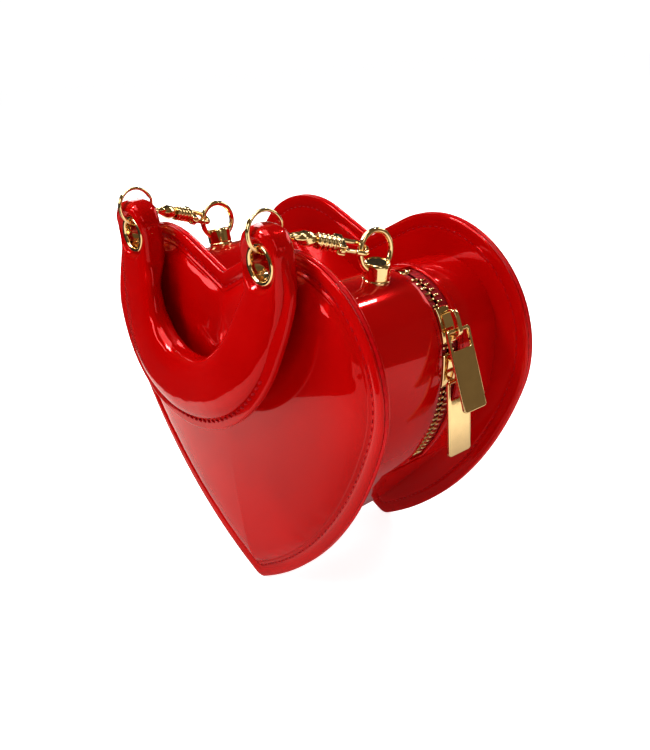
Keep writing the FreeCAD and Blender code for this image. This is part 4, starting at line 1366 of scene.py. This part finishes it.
def roll_ring(station, sign, run):
    """Section of the roll, sloping to the stitched edge on its outer side, pressed in by the eyelet."""
    (x, z), (out_x, out_z), wide, (front, back), bend = station
    middle_y = (front + back) / 2
    deep = (back - front) / 2
    power = 2 / (3.8 - 1.1 * bend)
    ring = []
    for a in round_angles(ROLL_POINTS):
        u = math.copysign(abs(math.cos(a)) ** power, math.cos(a))
        v = math.copysign(abs(math.sin(a)) ** power, math.sin(a))
        reach = u * (wide + (EDGE_SLOPE * bend if u > 0 else 0))
        spot = Vector(((x + out_x * reach) * sign, middle_y + v * deep, z + out_z * reach))
        slow = noise.noise(spot * 0.055)
        fine = noise.noise(spot * 0.24) * (0.35 + 0.65 * (1 - bend))
        inner = max(1 - bend, smooth_step(-u))
        folds = inner * noise.noise(Vector((u * 2.5, v * 2.5, sign * run * 0.09)))
        swell = SWELL_SLOW * slow + SWELL_FINE * fine + SWELL_FOLDS * folds
        spot.y += v * swell
        spot.x += u * swell * out_x * sign * 0.6
        gap = math.hypot(abs(spot.x) - HALF_SPAN, spot.z - EYELET_Z) - EYELET_RIM
        pressed = END_DEEP + max(0.0, abs(spot.y - END_Y) - END_DEEP) * smooth_step(gap / DISH_RUN)
        if gap < DISH_RUN:
            spot.y = END_Y + math.copysign(min(abs(spot.y - END_Y), pressed), spot.y - END_Y)
        ring.append(tuple(spot))
    return ring


def handle_roll():
    half = handle_stations()
    runs = [0.0]
    for before, after in zip(half, half[1:]):
        runs.append(runs[-1] + math.dist(before[0], after[0]))
    left = [roll_ring(station, -1, run) for station, run in zip(half[:0:-1], runs[:0:-1])]
    right = [roll_ring(station, 1, run) for station, run in zip(half, runs)]
    made = make_object("handle_leather", *skin(left + right), LEATHER)
    cutters = []
    for sign in SIDES.values():
        place = turned_about((sign * HALF_SPAN, END_Y - CUT_REACH, EYELET_Z), (0, 1, 0))
        bore = [(0, EYELET_BORE), (2 * CUT_REACH, EYELET_BORE)]
        cutters.append(make_object("cutter", *lathe(bore, place, 64), LEATHER))
    cut_out(made, cutters)
    hang_skew(made)
    smooth(made, 60)
    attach(made, "handle")
    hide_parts("handle_cover")


CORE_GAP = 1.6
CORE_POINTS = 32


def handle_filler():
    """Foam core that fills the bend of the roll."""
    rings = []
    for sign, half in ((-1, handle_stations()[:0:-1]), (1, handle_stations())):
        for (x, z), (out_x, out_z), wide, (front, back), bend in half:
            if bend < 1:
                continue
            deep = (back - front) / 2 - CORE_GAP
            ring = []
            for a in round_angles(CORE_POINTS):
                reach = (wide - CORE_GAP) * math.cos(a)
                y = (front + back) / 2 + deep * math.sin(a)
                ring.append(((x + out_x * reach) * sign, y, z + out_z * reach))
            rings.append(ring)
    made = make_object("handle_filler", *skin(rings), FOAM, sharp=60)
    hang_skew(made)
    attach(made, "handle")
    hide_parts("handle_core")


EDGE_TOP = EYELET_Z + 8
EDGE_TOP_X = HALF_SPAN + END_RADIUS - 0.6


def edge_x(z):
    """Outer edge of the stitched band: round the bend, then drawing in to the ends."""
    if z < BEND_Z:
        return math.sqrt(FLANGE_OUTER**2 - (z - BEND_Z) ** 2)
    return FLANGE_OUTER + (EDGE_TOP_X - FLANGE_OUTER) * smooth_step((z - BEND_Z) / (EDGE_TOP - BEND_Z))


def flange_stations():
    """Right half of the stitched edge: centre line of the roll, inner and outer edge, depth there."""
    found = []
    for (x, z), (out_x, out_z), wide, faces, bend in handle_stations():
        if z > EDGE_TOP:
            break
        outer = FLANGE_OUTER - ROLL_MIDDLE
        if bend < 1:
            for _ in range(8):
                outer = (edge_x(z + out_z * outer) - x) / out_x
        found.append(((x, z), (out_x, out_z), wide - FLANGE_TUCK, outer, sum(faces) / 2 - FLANGE_FORWARD))
    return found


def flange_ring(station, sign):
    (x, z), (out_x, out_z), inner, outer, depth = station
    center = (inner + outer) / 2
    ring = []
    for u, v in rounded_rectangle((outer - inner) / 2, FLANGE_HALF, 1.1, 4):
        reach = center + u
        ring.append((sign * (x + out_x * reach), depth + v, z + out_z * reach))
    return ring


def handle_edge():
    half = flange_stations()
    left = [flange_ring(station, -1) for station in half[:0:-1]]
    right = [flange_ring(station, 1) for station in half]
    made = make_object("handle_edge_leather", *skin(left + right, fan=False), LEATHER, sharp=50)
    hang_skew(made)
    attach(made, "handle")
    seam = [station for station in half if station[0][1] < BEND_Z - STITCH_TOP]
    for face, sign in (("front", -1), ("back", 1)):
        right = []
        for (x, z), (out_x, out_z), _, outer, depth in seam:
            reach = outer - SEAM_INSET
            right.append((x + out_x * reach, depth + sign * (FLANGE_HALF + 0.05), z + out_z * reach))
        row = [(-x, y, z) for x, y, z in right[:0:-1]] + right
        stitches = stitch_row(
            f"handle_{face}_stitches", row, [(0, sign, 0)] * len(row), "handle", radius=0.55, slant=0.5
        )
        hang_skew(stitches)


EYELET_PROFILE = [
    (0.05, 8.7), (-0.5, 8.66), (-0.98, 8.35), (-1.26, 7.8), (-1.29, 7.3), (-1.05, 6.8), (-0.56, 6.42),
    (0.2, 6.3), (3.5, 6.3), (7.6, 6.3), (7.8, 6.4), (7.8, 6.95), (7.6, 7.0), (3.5, 7.0), (0.05, 7.0),
]
WASHER_PROFILE = [(0.0, 7.05), (0.0, 8.6), (0.35, 8.7), (0.65, 8.5), (0.8, 8.1), (0.8, 7.2), (0.7, 7.05)]


def eyelets():
    for side, sign in SIDES.items():
        front = turned_about((sign * HALF_SPAN, END_Y - END_DEEP, EYELET_Z), (0, 1, 0))
        shape = lathe(EYELET_PROFILE, front, 72, loop=True)
        made = make_object(f"{side}_eyelet_ring", *shape, GOLD, sharp=50)
        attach(made, "handle")
        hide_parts(f"{side}_handle_eyelet")
        back = turned_about((sign * HALF_SPAN, END_Y + END_DEEP, EYELET_Z), (0, 1, 0))
        shape = lathe(WASHER_PROFILE, back, 72, loop=True)
        washer = make_object(f"{side}_eyelet_back", *shape, GOLD, sharp=50)
        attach(washer, "handle")
        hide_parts(f"{side}_eyelet_washer")


handle_roll()
handle_filler()
handle_edge()
eyelets()

# Finishes of the solids that stay as they are

FINISHES = {
    "front_panel_board": EDGE,
    "back_panel_board": EDGE,
    "left_stud_screw": STEEL,
    "right_stud_screw": STEEL,
    "left_stud_washer": STEEL,
    "right_stud_washer": STEEL,
    "left_clasp_gate_spring": STEEL,
    "right_clasp_gate_spring": STEEL,
}
for node_name, item in frame["nodes"].items():
    item.data.materials.clear()
    item.data.materials.append(FINISHES.get(node_name, GOLD))

# Stage, light and camera


def stage_piece(name, vertices, faces, look, **seen_by):
    """A floor, wall or card of the studio; seen_by says which kinds of ray see it."""
    made = make_object(name, vertices, faces, look)
    for kind, seen in seen_by.items():
        setattr(made, f"visible_{kind}", seen)


def card(name, center, aim, width, height, look):
    """A flat card that only shows in reflections."""
    turn = (Vector(aim) - Vector(center)).to_track_quat("Z", "Y").to_matrix()
    corners = ((-1, -1), (1, -1), (1, 1), (-1, 1))
    spots = [Vector(center) + turn @ Vector((u * width / 2, v * height / 2, 0)) for u, v in corners]
    stage_piece(
        name, [tuple(spot) for spot in spots], [(0, 1, 2, 3)], look,
        camera=False, diffuse=False, shadow=False, transmission=False,
    )


FLOOR_HALF = 8000
BACKDROP_HEIGHT = 9000
ROOM_HALF = 4000
WALL_SINK = 10
FLOOR_STEP = 0.5


def glowing(name, color, strength, albedo=0.0):
    """A studio surface with some light of its own."""
    look = Look(name)
    look.set(Emission_Color=(*color, 1), Emission_Strength=strength)
    look.colours(look.noise(30, 5), (albedo * 0.97,) * 3, (albedo,) * 3)
    look.roughness(look.noise(60, 3), 0.8, 0.95)
    return look.material


# Reach from the bag in metres: the painted shadow on the reflected floor is full inside the first and gone
# past the second.
PAINTED_SHADOW_RADIUS = 0.10
PAINTED_SHADOW_FADE_END = 0.32


def painted_shadow_floor(name, near, far):
    """Floor as reflections see it, glowing with a painted shadow and painted red bounce light: dark beside
    the bag, pale farther away.
    """
    look = Look(name)
    look.set(Emission_Strength=1.0)
    reach = look.node("ShaderNodeVectorMath", operation="LENGTH")
    look.link(look.place(), reach.inputs[0])
    share = look.node("ShaderNodeMapRange", interpolation_type="SMOOTHSTEP")
    share.inputs["From Min"].default_value = PAINTED_SHADOW_RADIUS
    share.inputs["From Max"].default_value = PAINTED_SHADOW_FADE_END
    look.link(reach.outputs["Value"], share.inputs["Value"])
    glow = look.ramp(share.outputs["Result"], near, far, 0, 1)
    look.link(glow, look.shader.inputs["Emission Color"])
    look.colours(look.noise(30, 5), (0.09, 0.09, 0.09), (0.1, 0.1, 0.1))
    look.roughness(look.noise(60, 3), 0.8, 0.95)
    return look.material


def box_walls(reach, bottom, top):
    corners = [(-reach, -reach), (reach, -reach), (reach, reach), (-reach, reach)]
    return skin([[(x, y, z) for x, y in corners] for z in (bottom, top)], fan=False)


def stage():
    floor_z = cad_box[0].z / MM
    reach = FLOOR_HALF
    square = [(-reach, -reach), (reach, -reach), (reach, reach), (-reach, reach)]
    only_camera = {"glossy": False, "diffuse": False, "shadow": False, "transmission": False}
    stage_piece(
        "floor", [(x, y, floor_z) for x, y in square], [(0, 1, 2, 3)],
        glowing("studio_floor", (1, 1, 1), 0.85, 0.94), glossy=False,
    )
    # Floor seen only in reflections, its glow darkened beside the bag as a painted shadow.
    stage_piece(
        "floor_below", [(x, y, floor_z - FLOOR_STEP) for x, y in square], [(0, 1, 2, 3)],
        painted_shadow_floor("reflected_floor_painted_shadow", (0.06, 0.01, 0.01), (1.2, 1.1, 0.98)),
        camera=False, diffuse=False,
    )
    stage_piece(
        "backdrop", *box_walls(FLOOR_HALF, floor_z - WALL_SINK, BACKDROP_HEIGHT),
        glowing("white_backdrop", (1, 1, 1), 1.05), **only_camera,
    )
    stage_piece(
        "room", *box_walls(ROOM_HALF, floor_z - WALL_SINK, ROOM_HALF),
        glowing("dim_room", (1, 0.72, 0.36), 0.1),
        camera=False, diffuse=False, shadow=False, transmission=False,
    )
    black = matte("flag_cloth", (0.004, 0.004, 0.004), (0.008, 0.008, 0.008), 60)
    card("front_flag", (-175, -265, floor_z + 125), (0, -110, floor_z + 125), 900, 250, black)
    dim = glowing("dim_card", (1, 0.72, 0.36), 0.13)
    card("low_card", (354, 205, floor_z + 150), (92, 5, floor_z + 150), 260, 300, dim)
    card("back_flag", (-218, 303, 430), (59, -60, 40), 380, 380, black)


# Name, place, aim, width and height in metres, and power in watts
LIGHTS = (
    ("top", (-0.1, -0.3, 1.3), (0, 0, 0), 0.9, 0.9, 12),
    ("key", (-0.45, -0.55, 1.0), (0, -0.05, 0), 0.25, 0.25, 12),
    ("front", (-0.5, -1.1, 0.5), (0, -0.05, 0), 0.5, 0.5, 6),
    ("side", (1.1, -0.2, 0.8), (0, -0.05, 0), 0.3, 0.7, 1.5),
    ("back", (0.1, 1.2, 0.7), (0, 0, 0), 0.8, 0.5, 5),
    ("left", (-1.0, 0.3, 0.6), (0, 0, 0), 0.4, 0.8, 5),
    ("back_lamp", (0.07, 0.57, 0.85), (0.05, -0.05, 0), 0.07, 0.05, 1),
    ("top_lamp", (0.15, -0.25, 1.1), (0, -0.1, 0), 0.06, 0.06, 1),
)


def area_light(name, place, aim, width, height, power):
    data = bpy.data.lights.new(name, "AREA")
    data.shape = "RECTANGLE"
    data.size = width
    data.size_y = height
    data.energy = power
    made = bpy.data.objects.new(name, data)
    made.location = place
    made.rotation_euler = (Vector(aim) - Vector(place)).to_track_quat("-Z", "Y").to_euler()
    scene.collection.objects.link(made)


def lights():
    world = bpy.data.worlds.new("studio")
    scene.world = world
    world.use_nodes = True
    world.node_tree.nodes["Background"].inputs["Color"].default_value = (1, 1, 1, 1)
    world.node_tree.nodes["Background"].inputs["Strength"].default_value = 0.18
    world.cycles_visibility.glossy = False
    scene.view_settings.view_transform = "Standard"
    for light in LIGHTS:
        area_light(*light)


# Camera worked out from the photograph's outline: angles in degrees, shifts in millimetres and pixels
VIEW_AZIMUTH = 48.57
VIEW_ELEVATION = 23.86
VIEW_ROLL = -3.21
VIEW_SHIFT = (6.28, -61.3)
VIEW_DISTANCE = 449.5
FOCAL_PIXELS = 861
PRINCIPAL_SHIFT = (51.97, 45.5)
PHOTO_HEIGHT = 750
SENSOR = 36


def camera():
    azimuth, elevation, roll = (math.radians(a) for a in (VIEW_AZIMUTH, VIEW_ELEVATION, VIEW_ROLL))
    back = Vector((
        math.sin(azimuth) * math.cos(elevation),
        -math.cos(azimuth) * math.cos(elevation),
        math.sin(elevation),
    ))
    level = Vector((math.cos(azimuth), math.sin(azimuth), 0))
    upright = back.cross(level)
    right = level * math.cos(roll) + upright * math.sin(roll)
    up = upright * math.cos(roll) - level * math.sin(roll)
    place = back * VIEW_DISTANCE - right * VIEW_SHIFT[0] + up * VIEW_SHIFT[1]
    data = bpy.data.cameras.new("photo_view")
    data.sensor_width = SENSOR
    data.lens = FOCAL_PIXELS * SENSOR / PHOTO_HEIGHT
    data.shift_x = -PRINCIPAL_SHIFT[0] / PHOTO_HEIGHT
    data.shift_y = PRINCIPAL_SHIFT[1] / PHOTO_HEIGHT
    data.clip_start = 0.01
    made = bpy.data.objects.new("photo_view", data)
    made.matrix_world = placement(place * MM, right, up, back)
    scene.collection.objects.link(made)
    scene.camera = made


stage()
lights()
camera()
